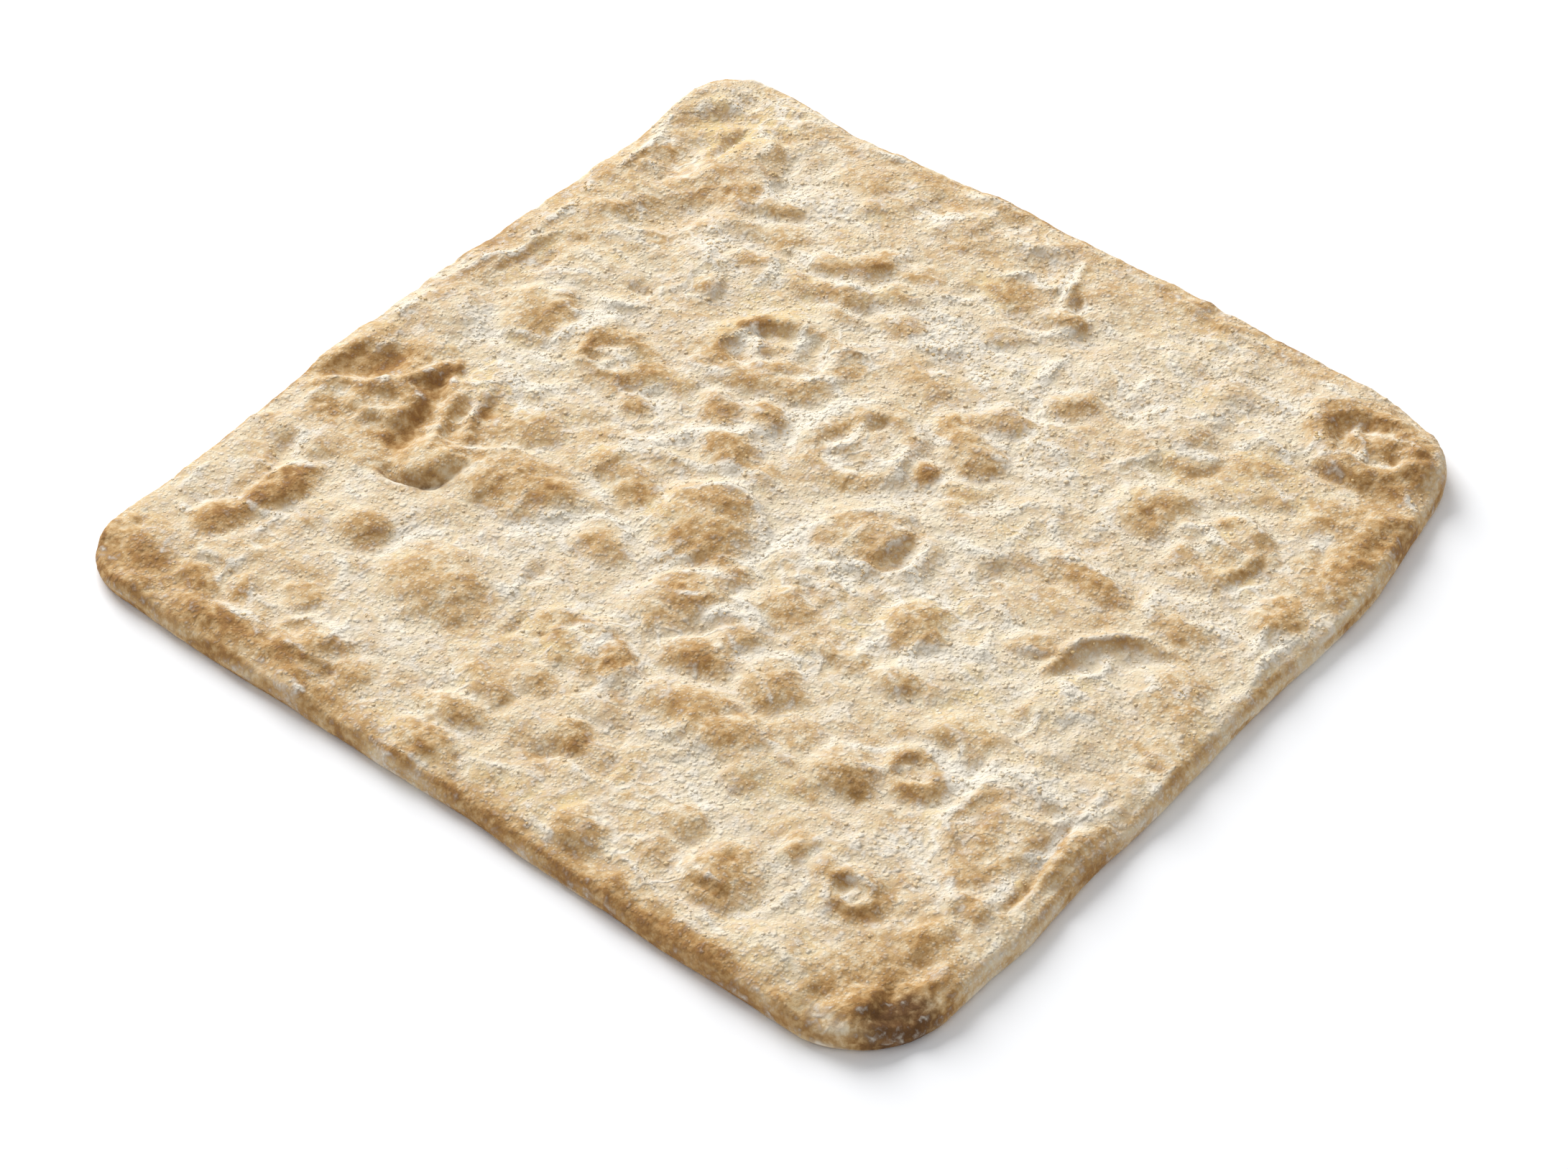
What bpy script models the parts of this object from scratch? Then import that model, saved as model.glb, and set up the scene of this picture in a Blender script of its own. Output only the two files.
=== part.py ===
"""Square par-baked pizza base: one solid bread with bubbled, folded skin.

Axes: +X runs along the slightly longer side, +Y to the far side, +Z up. The origin
lies on the flat underside, below the middle of the bread. The tables of bubbles,
dents and folds are in millimetres; MM turns them to metres.
"""
from dataclasses import dataclass

import bmesh
import bpy
import numpy as np

MM = 0.001

# Driving sizes of the bread.
HALF_X = 144.55
HALF_Y = 139.1
FIELD_HEIGHT = 7.3
CORNER_RADII = {"near_left": 22.0, "near_right": 28.0, "far_right": 44.0, "far_left": 16.0}

# Middle of the outline, from the middle of the dough that the tables count from.
MIDDLE_X = -0.85
MIDDLE_Y = 1.1

# The bread sags towards its rim: by EDGE_DROP over EDGE_ROLL.
EDGE_ROLL = 11.0
EDGE_DROP = 1.5

# Rings of the side, from the top of the rim to the underside: how far each lies inside
# the widest outline, and its height as a share of the rim's.
TOP_INSET = 3.4
RIM_RINGS = ((1.3, 0.80), (0.2, 0.52), (0.1, 0.28), (0.9, 0.10), (2.3, 0.0))

# Grid of the top skin, in cells along X and Y.
CELLS_X = 66
CELLS_Y = 64

# How far the stretching of the dough wanders the outlines of bubbles and folds: size of the
# noise, and its reach.
WANDERS = ((15.0, 1.2), (7.0, 0.9), (3.2, 0.3))
# Pillows between the named bubbles: size and height of each layer.
PILLOWS = ((27.0, 2.0), (12.0, 0.7))
# The pillows are pulled along by the stretching over this size, this far.
PULL_SIZE = 13.0
PULL_REACH = 3.5
PILLOW_TURN = 20.0
PILLOW_STRETCH = 1.35
# How round the valleys between pillows are, and the mean that is taken off them.
PILLOW_ROUNDING = 0.006
PILLOW_MEAN = 0.25
SEED = 26

# How much higher the oven has driven every bubble and fold than the risen dough had it, and how
# much deeper the hollows between them have been left.
OVEN_SPRING = 1.5
HOLLOW_SPRING = 1.1

# Section of a bubble, where its radius is 1: the foot of its dome as the square of a radius, how
# softly the dome meets the skin there, the moat round it, and the slope into a fallen bowl.
DOME_FOOT = 1.35
DOME_SOFTNESS = 1.7
MOAT_DEPTH = 0.12
MOAT_RADIUS = 1.15
MOAT_WIDTH = 0.25
BOWL_LIP = 0.12
BOWL_SLOPE = 0.3
# The same for a hollow.
DENT_FOOT = 1.4
DENT_SOFTNESS = 1.6

CRUST_COLOUR = (0.62, 0.45, 0.27, 1.0)
CRUST_ROUGHNESS = 0.85


@dataclass(frozen=True)
class Bubble:
    """A bubble in the skin: centre, half axes, turn in degrees and rise.

    A bubble that has fallen in keeps a rim, and its middle lies sink lower.
    """

    x: float
    y: float
    long: float
    short: float
    turn: float
    rise: float
    sink: float = 0.0
    bowl: float = 0.6


@dataclass(frozen=True)
class Dent:
    """A hollow between bubbles: centre, half axes, turn in degrees and depth."""

    x: float
    y: float
    long: float
    short: float
    turn: float
    depth: float


@dataclass(frozen=True)
class Fold:
    """A ridge, or with rise below zero a crease, along a smooth line.

    left and right are its widths on either side of the line as it runs.
    """

    points: tuple
    left: float
    right: float
    rise: float


@dataclass(frozen=True)
class Swell:
    """A stretch of the outline that stands out, or in if out is below zero."""

    side: str
    at: float
    reach: float
    out: float


SWELLS = (
    Swell("far", -122, 16, 1.2),
    Swell("far", -84, 18, -1.8),
    Swell("far", -22, 26, 1.6),
    Swell("far", 30, 16, 1.2),
    Swell("far", 108, 26, -2.3),
    Swell("left", -102, 26, -1.9),
    Swell("left", -28, 18, 1.8),
    Swell("left", 14, 20, 1.7),
    Swell("left", 90, 26, -2.0),
    Swell("right", -82, 14, 1.4),
    Swell("right", -28, 18, 0.7),
    Swell("right", 60, 20, 1.0),
    Swell("right", 105, 22, -4.6),
    Swell("near", -84, 26, 0.8),
    Swell("near", 5, 20, -0.8),
    Swell("near", 78, 24, 0.6),
)

FAR_BUBBLES = (
    Bubble(-107, 98, 14, 19, -18, 2.0),
    Bubble(-104, 114, 9, 6, 10, 0.8),
    Bubble(-83, 95, 8, 4.5, 20, 1.0),
    Bubble(-95, 92, 9, 9, 0, 1.2),
    Bubble(-54, 85, 8, 5, 25, 1.0),
    Bubble(-55, 72, 8, 6, 20, 0.8),
    Bubble(-78, 55, 5, 5, 20, 1.3),
    Bubble(-72, 86, 9, 7, 20, 0.9),
    Bubble(-30, 120, 12, 9, 20, 0.8),
    Bubble(-5, 108, 10, 7, 10, 0.9),
    Bubble(-44, 93, 9, 6, 40, 1.2),
    Bubble(-31, 84, 9, 6, 20, 1.0),
    Bubble(-44, 75, 10, 5.5, 15, 1.2),
    Bubble(-23, 76, 9, 6, 15, 1.0),
    Bubble(37, 79, 9, 6, 50, 1.1),
    Bubble(26, 62, 10, 6, 15, 0.9),
    Bubble(112, 116, 23, 17, -8, 2.8, 3.0, 0.55),
    Bubble(117, 118, 12, 7, 15, 1.4),
    Bubble(129, 117, 8, 7, 60, 1.5),
    Bubble(113, 126, 8, 5, 10, 1.3),
    Bubble(125, 126, 7, 5, -30, 1.0),
    Bubble(70, 87, 9, 7, 30, 0.8),
    Bubble(81, 58, 12, 11, 0, 1.9),
    Bubble(104, 57, 14, 15, -20, 2.1, 1.3, 0.6),
    Bubble(134, 78, 12, 24, 0, 1.2),
    Bubble(119, 85, 8, 10, -10, 0.8),
)

MIDDLE_BUBBLES = (
    Bubble(-107, 15, 13, 13, 20, 1.7),
    Bubble(-78, 14, 18, 13, -10, 2.1, 1.5, 0.45),
    Bubble(-140, -30, 9, 20, 0, 1.3),
    Bubble(-117, -42, 11, 8, 25, 1.4, 0.9, 0.5),
    Bubble(-75, -22, 10, 8, 30, 0.9),
    Bubble(-88, -50, 11, 10, 20, 2.2),
    Bubble(-63, -42, 18, 13, 10, 2.0),
    Bubble(-41, 44, 26, 18, 22, 2.6, 2.5, 0.62),
    Bubble(-38, 38, 11, 5, 28, 1.0),
    Bubble(3, 28, 18, 19, -20, 2.2, 1.4, 0.62),
    Bubble(23, 31, 4.5, 6.5, 0, 1.6),
    Bubble(28, 45, 10, 8, 0, 1.6),
    Bubble(18, 51, 9, 7, 0, 1.4),
    Bubble(36, 31, 8, 6, 0, 0.9),
    Bubble(-40, 17, 8.5, 6.5, -20, 1.6),
    Bubble(-27, 22, 8, 7, 0, 1.4),
    Bubble(-26, 4, 10, 7, 0, 1.6),
    Bubble(-13, 4, 6, 6, 0, 0.8),
    Bubble(27, 3, 19, 14, 10, 2.3),
    Bubble(16, -5, 7, 7, 0, 0.8),
    Bubble(-13, -23, 18, 17, -30, 2.6),
    Bubble(-37, -23, 8.5, 8, 0, 1.5),
    Bubble(-48, -19, 8, 7, 0, 1.2),
    Bubble(-30, -44, 11, 8, 10, 1.5),
    Bubble(6, -32, 8, 5, 10, 1.2),
    Bubble(25, -34, 10, 8, 20, 1.1),
    Bubble(2, -44, 12, 8, 20, 1.6),
    Bubble(22, -48, 10, 7, 0, 1.2),
    Bubble(31, -21, 5, 5, 0, 0.9, 0.6),
    Bubble(58, -17, 10, 11, -30, 2.1),
    Bubble(53, -37, 6, 5, 0, 1.0),
    Bubble(82, 25, 14, 6, -12, 1.2),
    Bubble(131, 45, 9, 9, 0, 1.5),
    Bubble(125, 5, 12, 12, 0, 1.0),
    Bubble(86, -2, 8, 5, 30, 0.9),
    Bubble(66, -36, 8, 6, 10, 1.2),
    Bubble(96, -39, 14, 9, 10, 1.1),
    Bubble(118, -62, 14, 20, 5, 1.7, 0.7, 0.6),
    Bubble(137, -58, 5, 20, -5, 0.9),
)

NEAR_BUBBLES = (
    Bubble(-114, -84, 7, 14, -12, 1.8),
    Bubble(-119, -103, 7, 9, -20, 1.4),
    Bubble(-84, -82, 9, 8, 0, 1.1),
    Bubble(-54, -82, 19, 15, 10, 1.7),
    Bubble(-79, -110, 7, 6, 0, 1.0, 0.4),
    Bubble(-106, -123, 8, 5, -10, 1.0),
    Bubble(-63, -121, 14, 7, 0, 1.2),
    Bubble(-66, -130, 14, 6, 0, 0.8),
    Bubble(-94, -131, 14, 6, 0, 1.0),
    Bubble(-6, -76, 18, 10, -5, 1.8, 0.7, 0.5),
    Bubble(4, -75, 7, 6, -20, 1.0),
    Bubble(-2, -54, 12, 8, 30, 1.0),
    Bubble(20, -60, 12, 7, 20, 1.3),
    Bubble(41, -57, 11, 9, -10, 1.6),
    Bubble(32, -77, 17, 10, 5, 2.0),
    Bubble(48, -77, 8, 10, 0, 1.1),
    Bubble(-9, -94, 8, 5, 0, 0.9),
    Bubble(13, -103, 8, 6, 10, 1.2),
    Bubble(-18, -103, 12, 5, -15, 0.9),
    Bubble(-18, -115, 12, 6, 15, 1.4),
    Bubble(-17, -127, 12, 7, 0, 1.4),
    Bubble(36, -125, 9, 7, -20, 1.3),
    Bubble(-47, -122, 6, 6, 0, 0.9),
    Bubble(90, -58, 11, 9, -10, 1.9, 1.6, 0.5),
    Bubble(76, -68, 10, 8, -20, 1.5),
    Bubble(57, -66, 9, 7, 0, 0.9),
    Bubble(83, -96, 5, 6, 0, 1.0),
    Bubble(102, -99, 11, 9, 20, 1.8, 1.5, 0.45),
    Bubble(55, -106, 8, 6, 0, 1.1),
    Bubble(74, -113, 12, 12, 0, 1.8),
    Bubble(56, -119, 7, 7, 0, 0.7),
    Bubble(126, -96, 6, 7, 0, 0.8),
    Bubble(129, -84, 7, 5, 0, 1.0),
    Bubble(115, -121, 8, 7, 0, 0.8),
    Bubble(127, -126, 7, 9, -30, 1.6),
    Bubble(137, -127, 5, 6, -35, 1.0),
)

DENTS = (
    Dent(-123, 122, 21, 14, 10, 1.1),
    Dent(-125, 104, 6.5, 5.5, 0, 2.0),
    Dent(-123, 92, 9, 8, 20, 2.1),
    Dent(-126, 83, 8, 3.2, -5, 1.3),
    Dent(-110, 70, 15, 8, 45, 1.7),
    Dent(-87, 117, 6, 6, 0, 0.9),
    Dent(-88, 103, 8, 4, 25, 1.0),
    Dent(-87, 87, 8, 4, 20, 1.0),
    Dent(-47, 121, 6, 7, 0, 0.9),
    Dent(-4, 123, 10, 10, 70, 1.7),
    Dent(13, 113, 6, 4.5, 50, 1.1),
    Dent(24, 104, 6, 9, -10, 1.0),
    Dent(-39, 87, 6, 5, 40, 1.3),
    Dent(30, 69, 7, 3.2, -10, 1.3),
    Dent(52, 84.5, 6, 5, 0, 1.1),
    Dent(98, 120, 6, 5, 20, 0.9),
    Dent(112, 95, 12, 5, -10, 1.0),
    Dent(70, 72, 8, 4, -10, 1.2),
    Dent(-126, 33, 5, 9, 0, 1.5),
    Dent(-103, 10, 6, 6, 0, 0.8),
    Dent(-72, 19, 8, 4, -10, 1.2),
    Dent(-134, -33, 15, 5, 62, 2.0),
    Dent(-126, -28, 4, 9, 10, 1.2),
    Dent(-109, -25, 6, 10, 10, 2.0),
    Dent(-103, -42, 5, 14, 10, 1.9),
    Dent(-91, -25, 6, 6, 0, 1.3),
    Dent(39, 2, 5, 10, -8, 2.0),
    Dent(101, 0, 4, 12, -15, 1.5),
    Dent(108, 9, 6, 4, 20, 1.0),
    Dent(-124, -70, 4.5, 10, 8, 1.6),
    Dent(-129, -101, 4, 5, 30, 1.0),
    Dent(-35, -65, 5, 4.5, 0, 1.0),
    Dent(132, -107, 5, 6.5, -15, 1.3),
    Dent(134, -120, 5, 5, 0, 1.1),
)

FOLDS = (
    Fold(((-131, 86), (-127, 87), (-122, 85.5)), 2, 2, 1),
    Fold(((-116.5, 118), (-117, 108), (-115.5, 98)), 1.8, 1.8, -1.7),
    Fold(((-22, 122), (-13, 127), (-3, 132)), 2.7, 3.5, 0.9),
    Fold(((-1, 131), (3, 122), (6, 114), (9, 107)), 1.3, 1.3, -1.2),
    Fold(((1, 131), (5.5, 121), (8.5, 113), (11, 107)), 1.8, 4, 1.3),
    Fold(((-12, 113), (-5, 116), (4, 113)), 2.2, 2.7, 0.8),
    Fold(((91, 125), (93, 117), (98, 109), (105, 103), (113, 100.5), (121, 101)), 4.2, 1.8, 1.2),
    Fold(((-88, 30), (-93.5, 19), (-95, 10), (-92.5, 4)), 3.2, 2.7, 0.9),
    Fold(((-104, -9), (-92, -11), (-82, -12), (-74, -14)), 3, 2.4, 0.8),
    Fold(((-126, -38), (-116, -29), (-113, -19), (-111, -14)), 2.2, 2.4, 1.6),
    Fold(((-111, -15), (-107, -21), (-103, -28)), 1.1, 3, 1.1),
    Fold(((-139, -47), (-124, -38), (-111, -33), (-108, -40), (-111, -48)), 2.4, 2.4, 1.2),
    Fold(((-101, -24), (-99, -33), (-95, -42), (-91, -50)), 1.8, 2, 1.4),
    Fold(((-96, -20), (-92, -31), (-85, -38)), 1.8, 2, 1.2),
    Fold(((-86, -51), (-84.5, -43), (-79, -38), (-70, -31)), 1.9, 2.2, 1),
    Fold(((-99, -59), (-91, -60.5), (-84, -58), (-80, -52.5), (-78, -45)), 1.9, 1.6, -2),
    Fold(((-7, -44), (-2, -40), (4, -36.5), (11, -35)), 1.5, 2, 0.9),
    Fold(((-57, 41), (-50, 44), (-44, 42)), 1.9, 2.2, 1),
    Fold(((39.5, 12), (43, 5), (43.5, -4), (41.5, -8)), 3.5, 1.5, 1.1),
    Fold(((-26, -21), (-19, -11), (-12, -7), (-3, -10), (6, -16)), 1.5, 2, 0.8),
    Fold(((68.5, 24), (79.5, 29), (90.5, 27), (98.5, 22)), 2.4, 2.2, 0.8),
    Fold(((95, -12), (95, -1), (98.5, 7.5), (104, 13), (112, 16), (122, 17.5)), 2.4, 1.8, 1.6),
    Fold(((105, -50), (109, -44), (120, -44), (130, -41)), 2.2, 2.2, 0.8),
    Fold(((131.5, -44), (132.3, -54), (134, -63), (135.7, -70.7), (137.3, -80.7)), 1.5, 1.4, -1.5),
    Fold(((94, 67), (98.5, 71), (104, 70), (114, 65)), 1.6, 2.2, 0.8),
    Fold(((-127, -60), (-123.5, -66), (-121, -73)), 1.1, 2.2, 0.8),
    Fold(((-76, -120), (-69, -115.5), (-60, -115.5), (-52, -119)), 2, 2, 0.8),
)


class Grain:
    """Seeded two-dimensional gradient noise, about -1 to 1."""

    LATTICE = 256

    def __init__(self, seed):
        angles = np.random.default_rng(seed).uniform(0, 2 * np.pi, (self.LATTICE, self.LATTICE))
        self.slope_x = np.cos(angles)
        self.slope_y = np.sin(angles)

    def at(self, x, y, size, turn=0.0, stretch=1.0):
        """Value at x and y, for lumps of a size, drawn out by stretch along turn."""
        c, s = np.cos(np.radians(turn)), np.sin(np.radians(turn))
        u = (x * c + y * s) / (size * stretch)
        v = (y * c - x * s) / size
        column, row = np.floor(u).astype(int), np.floor(v).astype(int)
        du, dv = u - column, v - row
        blend_u = du ** 3 * (du * (du * 6 - 15) + 10)
        blend_v = dv ** 3 * (dv * (dv * 6 - 15) + 10)

        def corner(i, j):
            a, b = (column + i) % self.LATTICE, (row + j) % self.LATTICE
            return self.slope_x[a, b] * (du - i) + self.slope_y[a, b] * (dv - j)

        low = corner(0, 0) * (1 - blend_u) + corner(1, 0) * blend_u
        high = corner(0, 1) * (1 - blend_u) + corner(1, 1) * blend_u
        return 1.5 * (low * (1 - blend_v) + high * blend_v)


GRAINS = [Grain(SEED + layer) for layer in range(12)]


def ease(share):
    """Smooth step from 0 to 1."""
    share = np.clip(share, 0.0, 1.0)
    return share * share * (3 - 2 * share)


def radius_in(spot, x, y):
    """Distance from a bubble's or dent's centre, where 1 is its outline."""
    c, s = np.cos(np.radians(spot.turn)), np.sin(np.radians(spot.turn))
    along = ((x - spot.x) * c + (y - spot.y) * s) / spot.long
    across = ((y - spot.y) * c - (x - spot.x) * s) / spot.short
    return np.hypot(along, across)


def bubble_height(bubble, x, y):
    """Dome with a shallow moat round its foot, and a bowl where it has fallen in."""
    r = radius_in(bubble, x, y)
    dome = np.clip(1 - r * r / DOME_FOOT, 0, 1) ** DOME_SOFTNESS
    moat = MOAT_DEPTH * np.exp(-((r - MOAT_RADIUS) / MOAT_WIDTH) ** 2)
    fallen = bubble.sink * ease((bubble.bowl + BOWL_LIP - r) / BOWL_SLOPE)
    return OVEN_SPRING * (bubble.rise * (dome - moat) - fallen)


def dent_height(dent, x, y):
    """Bowl below the skin round it."""
    r = radius_in(dent, x, y)
    return -HOLLOW_SPRING * dent.depth * np.clip(1 - r * r / DENT_FOOT, 0, 1) ** DENT_SOFTNESS


def smooth_line(points, step=1.5):
    """Points about step apart on a Catmull-Rom curve through the given ones."""
    p = np.array(points, float)
    q = np.vstack([2 * p[0] - p[1], p, 2 * p[-1] - p[-2]])
    line = []
    for a, b, c, d in zip(q, q[1:], q[2:], q[3:]):
        count = max(2, int(np.hypot(*(c - b)) / step))
        t = np.linspace(0, 1, count, endpoint=False)[:, None]
        bend = (2 * a - 5 * b + 4 * c - d) * t ** 2 + (3 * b - a - 3 * c + d) * t ** 3
        line.append(b + 0.5 * ((c - a) * t + bend))
    line.append(p[-1:])
    return np.vstack(line)


def fold_height(fold, x, y):
    """Ridge whose height fades to its ends and falls off to either side."""
    line = smooth_line(fold.points)
    starts, runs = line[:-1], np.diff(line, axis=0)
    lengths = np.hypot(runs[:, 0], runs[:, 1])
    travelled = np.concatenate([[0.0], np.cumsum(lengths)])
    nearest = np.full(x.shape, np.inf)
    side = np.zeros(x.shape)
    along = np.zeros(x.shape)
    for start, run, length, before in zip(starts, runs, lengths, travelled):
        dx, dy = x - start[0], y - start[1]
        share = np.clip((dx * run[0] + dy * run[1]) / length ** 2, 0, 1)
        away_x, away_y = dx - share * run[0], dy - share * run[1]
        distance = np.hypot(away_x, away_y)
        closer = distance < nearest
        nearest = np.where(closer, distance, nearest)
        side = np.where(closer, run[0] * away_y - run[1] * away_x, side)
        along = np.where(closer, (before + share * length) / travelled[-1], along)
    width = np.where(side > 0, fold.left, fold.right)
    taper = np.sqrt(np.clip(4 * along * (1 - along), 0, 1))
    return OVEN_SPRING * fold.rise * taper * np.exp(-(nearest / width) ** 2)


def skin_height(x, y):
    """Height of the top skin over the underside, without its rolled rim."""
    x, y = x + MIDDLE_X, y + MIDDLE_Y
    wander_x = sum(reach * GRAINS[i].at(x, y, size) for i, (size, reach) in enumerate(WANDERS))
    wander_y = sum(reach * GRAINS[i + 3].at(x, y, size) for i, (size, reach) in enumerate(WANDERS))
    x, y = x + wander_x, y + wander_y
    height = np.full(x.shape, FIELD_HEIGHT)
    pulled_x = x + PULL_REACH * GRAINS[10].at(x, y, PULL_SIZE)
    pulled_y = y + PULL_REACH * GRAINS[11].at(x, y, PULL_SIZE)
    for layer, (size, rise) in enumerate(PILLOWS):
        swing = GRAINS[6 + layer].at(pulled_x, pulled_y, size, PILLOW_TURN, PILLOW_STRETCH)
        height += rise * (np.sqrt(swing * swing + PILLOW_ROUNDING) - PILLOW_MEAN)
    for bubble in FAR_BUBBLES + MIDDLE_BUBBLES + NEAR_BUBBLES:
        height += bubble_height(bubble, x, y)
    for dent in DENTS:
        height += dent_height(dent, x, y)
    for fold in FOLDS:
        height += fold_height(fold, x, y)
    return height


def swelling(side, station):
    """How far the outline stands out at a station along a side."""
    swells = [swell for swell in SWELLS if swell.side == side]
    return sum(swell.out * np.exp(-((station - swell.at) / swell.reach) ** 2) for swell in swells)


def widest_outline():
    """Polar angles and radii of the bread's widest outline, for interpolation."""
    corners = (("near_left", -1, -1, 180), ("near_right", 1, -1, 270),
               ("far_right", 1, 1, 0), ("far_left", -1, 1, 90))
    ring, normals = [], []
    for name, side_x, side_y, first in corners:
        radius = CORNER_RADII[name]
        centre = np.array([side_x * (HALF_X - radius), side_y * (HALF_Y - radius)])
        turn = np.radians(first + np.linspace(0, 90, 19))
        outward = np.column_stack([np.cos(turn), np.sin(turn)])
        ring.append(centre + radius * outward)
        normals.append(outward)
    corner_ends = list(zip(ring, ring[1:] + ring[:1], normals))
    points, outwards = [], []
    for arc, following, outward in corner_ends:
        straight = np.linspace(arc[-1], following[0], 120)[1:-1]
        points += [arc, straight]
        outwards += [outward, np.repeat(outward[-1:], len(straight), axis=0)]
    points, outwards = np.vstack(points), np.vstack(outwards)
    x, y = points.T
    out_x = np.where(x > 0, swelling("right", y), swelling("left", y))
    out_y = np.where(y > 0, swelling("far", x), swelling("near", x))
    points = points + outwards * (outwards[:, :1] ** 2 * out_x[:, None]
                                  + outwards[:, 1:] ** 2 * out_y[:, None])
    angles = np.arctan2(points[:, 1], points[:, 0])
    order = np.argsort(angles)
    return angles[order], np.hypot(*points.T)[order]


OUTLINE_ANGLES, OUTLINE_RADII = widest_outline()


def outline_radius(angle):
    """Radius of the widest outline in a direction from the middle."""
    return np.interp(angle, OUTLINE_ANGLES, OUTLINE_RADII, period=2 * np.pi)


def place_on_bread(u, v):
    """Turn square coordinates, -1 to 1, into x and y inside the top of the rim."""
    x, y = u * HALF_X, v * HALF_Y
    share = np.maximum(np.abs(u), np.abs(v))
    angle = np.arctan2(y, x)
    ratio = (outline_radius(angle) - TOP_INSET) * share / np.maximum(np.hypot(x, y), 1e-9)
    pull = 1 + (ratio - 1) * share ** 4
    return x * pull, y * pull


def rolled_height(x, y):
    """Height of the skin, lowered over the last stretch before the rim."""
    to_edge = outline_radius(np.arctan2(y, x)) - np.hypot(x, y)
    drop = EDGE_DROP * np.clip(1 - to_edge / EDGE_ROLL, 0, 1) ** 2
    return skin_height(x, y) - drop


def lay_top_skin(bread):
    """Make the top skin as a grid and raise it to the bubbled form.

    Returns its boundary edges, which the side grows from.
    """
    grid = bmesh.ops.create_grid(bread, x_segments=CELLS_X, y_segments=CELLS_Y, size=1.0)
    skin = grid["verts"]
    square = np.array([vert.co[:2] for vert in skin])
    x, y = place_on_bread(square[:, 0], square[:, 1])
    for vert, place in zip(skin, np.column_stack([x, y, rolled_height(x, y)])):
        vert.co = place * MM
    return [edge for edge in bread.edges if edge.is_boundary]


def grow_side(bread, edges):
    """Extrude the rim ring by ring down to the underside, and close it there."""
    rim = list({vert for edge in edges for vert in edge.verts})
    top = np.array([vert.co for vert in rim]) / MM
    angle = np.arctan2(top[:, 1], top[:, 0])
    # Each ring keeps the directions and heights of the first, vertex by vertex.
    place_of = {vert: (turn, height) for vert, turn, height in zip(rim, angle, top[:, 2])}
    for inset, share in RIM_RINGS:
        grown = bmesh.ops.extrude_edge_only(bread, edges=edges)["geom"]
        edges = [item for item in grown if isinstance(item, bmesh.types.BMEdge)]
        edges = [edge for edge in edges if edge.is_boundary]
        placed = {}
        for vert in {vert for edge in edges for vert in edge.verts}:
            above = next(edge.other_vert(vert) for edge in vert.link_edges
                         if edge.other_vert(vert) in place_of)
            turn, height = place_of[above]
            radius = float(outline_radius(turn)) - inset
            vert.co = (radius * np.cos(turn) * MM, radius * np.sin(turn) * MM, share * height * MM)
            placed[vert] = (turn, height)
        place_of = placed
    bottom = bmesh.ops.contextual_create(bread, geom=edges)["faces"]
    bmesh.ops.poke(bread, faces=bottom)


def centre_on_origin(bread):
    """Move the bread so that the middle of its box stands on the origin."""
    places = np.array([vert.co for vert in bread.verts])
    middle = (places.min(axis=0) + places.max(axis=0)) / 2
    shift = (-middle[0], -middle[1], -places[:, 2].min())
    bmesh.ops.translate(bread, vec=shift, verts=bread.verts)


def crust_material():
    """Floured, lightly browned crust."""
    material = bpy.data.materials.new("floured_crust")
    material.use_nodes = True
    shader = material.node_tree.nodes["Principled BSDF"]
    shader.inputs["Base Color"].default_value = CRUST_COLOUR
    shader.inputs["Roughness"].default_value = CRUST_ROUGHNESS
    shader.inputs["Metallic"].default_value = 0.0
    return material


def build_pizza_base(collection):
    """Build the bread and put it in the collection."""
    bread = bmesh.new()
    grow_side(bread, lay_top_skin(bread))
    centre_on_origin(bread)
    bmesh.ops.triangulate(bread, faces=bread.faces)
    bmesh.ops.recalc_face_normals(bread, faces=bread.faces)
    mesh = bpy.data.meshes.new("pizza_base")
    bread.to_mesh(mesh)
    bread.free()
    mesh.shade_smooth()
    mesh.materials.append(crust_material())
    collection.objects.link(bpy.data.objects.new("pizza_base", mesh))


def main():
    """Clear the scene and model the pizza base in a collection of its own."""
    for item in list(bpy.data.objects):
        bpy.data.objects.remove(item, do_unlink=True)
    collection = bpy.data.collections.new("pizza_base")
    bpy.context.scene.collection.children.link(collection)
    build_pizza_base(collection)


main()
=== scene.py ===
"""Square par-baked pizza base: its fine skin, flour and browning, on a white board in soft light.

+X runs along the slightly longer side, +Y to the far side, +Z up. Lengths are millimetres, and MM
turns them to metres where a mesh or the camera is made; only the board and the lamp, which aren't
part of the bread, are given in metres. Bubbles and folds are placed from the middle of the dough,
before the bread is centred on its box.
"""
from __future__ import annotations

import logging
import math
from dataclasses import dataclass
from enum import Enum
from typing import ClassVar

import bmesh
import bpy
import numpy as np
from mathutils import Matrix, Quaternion, Vector

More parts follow.
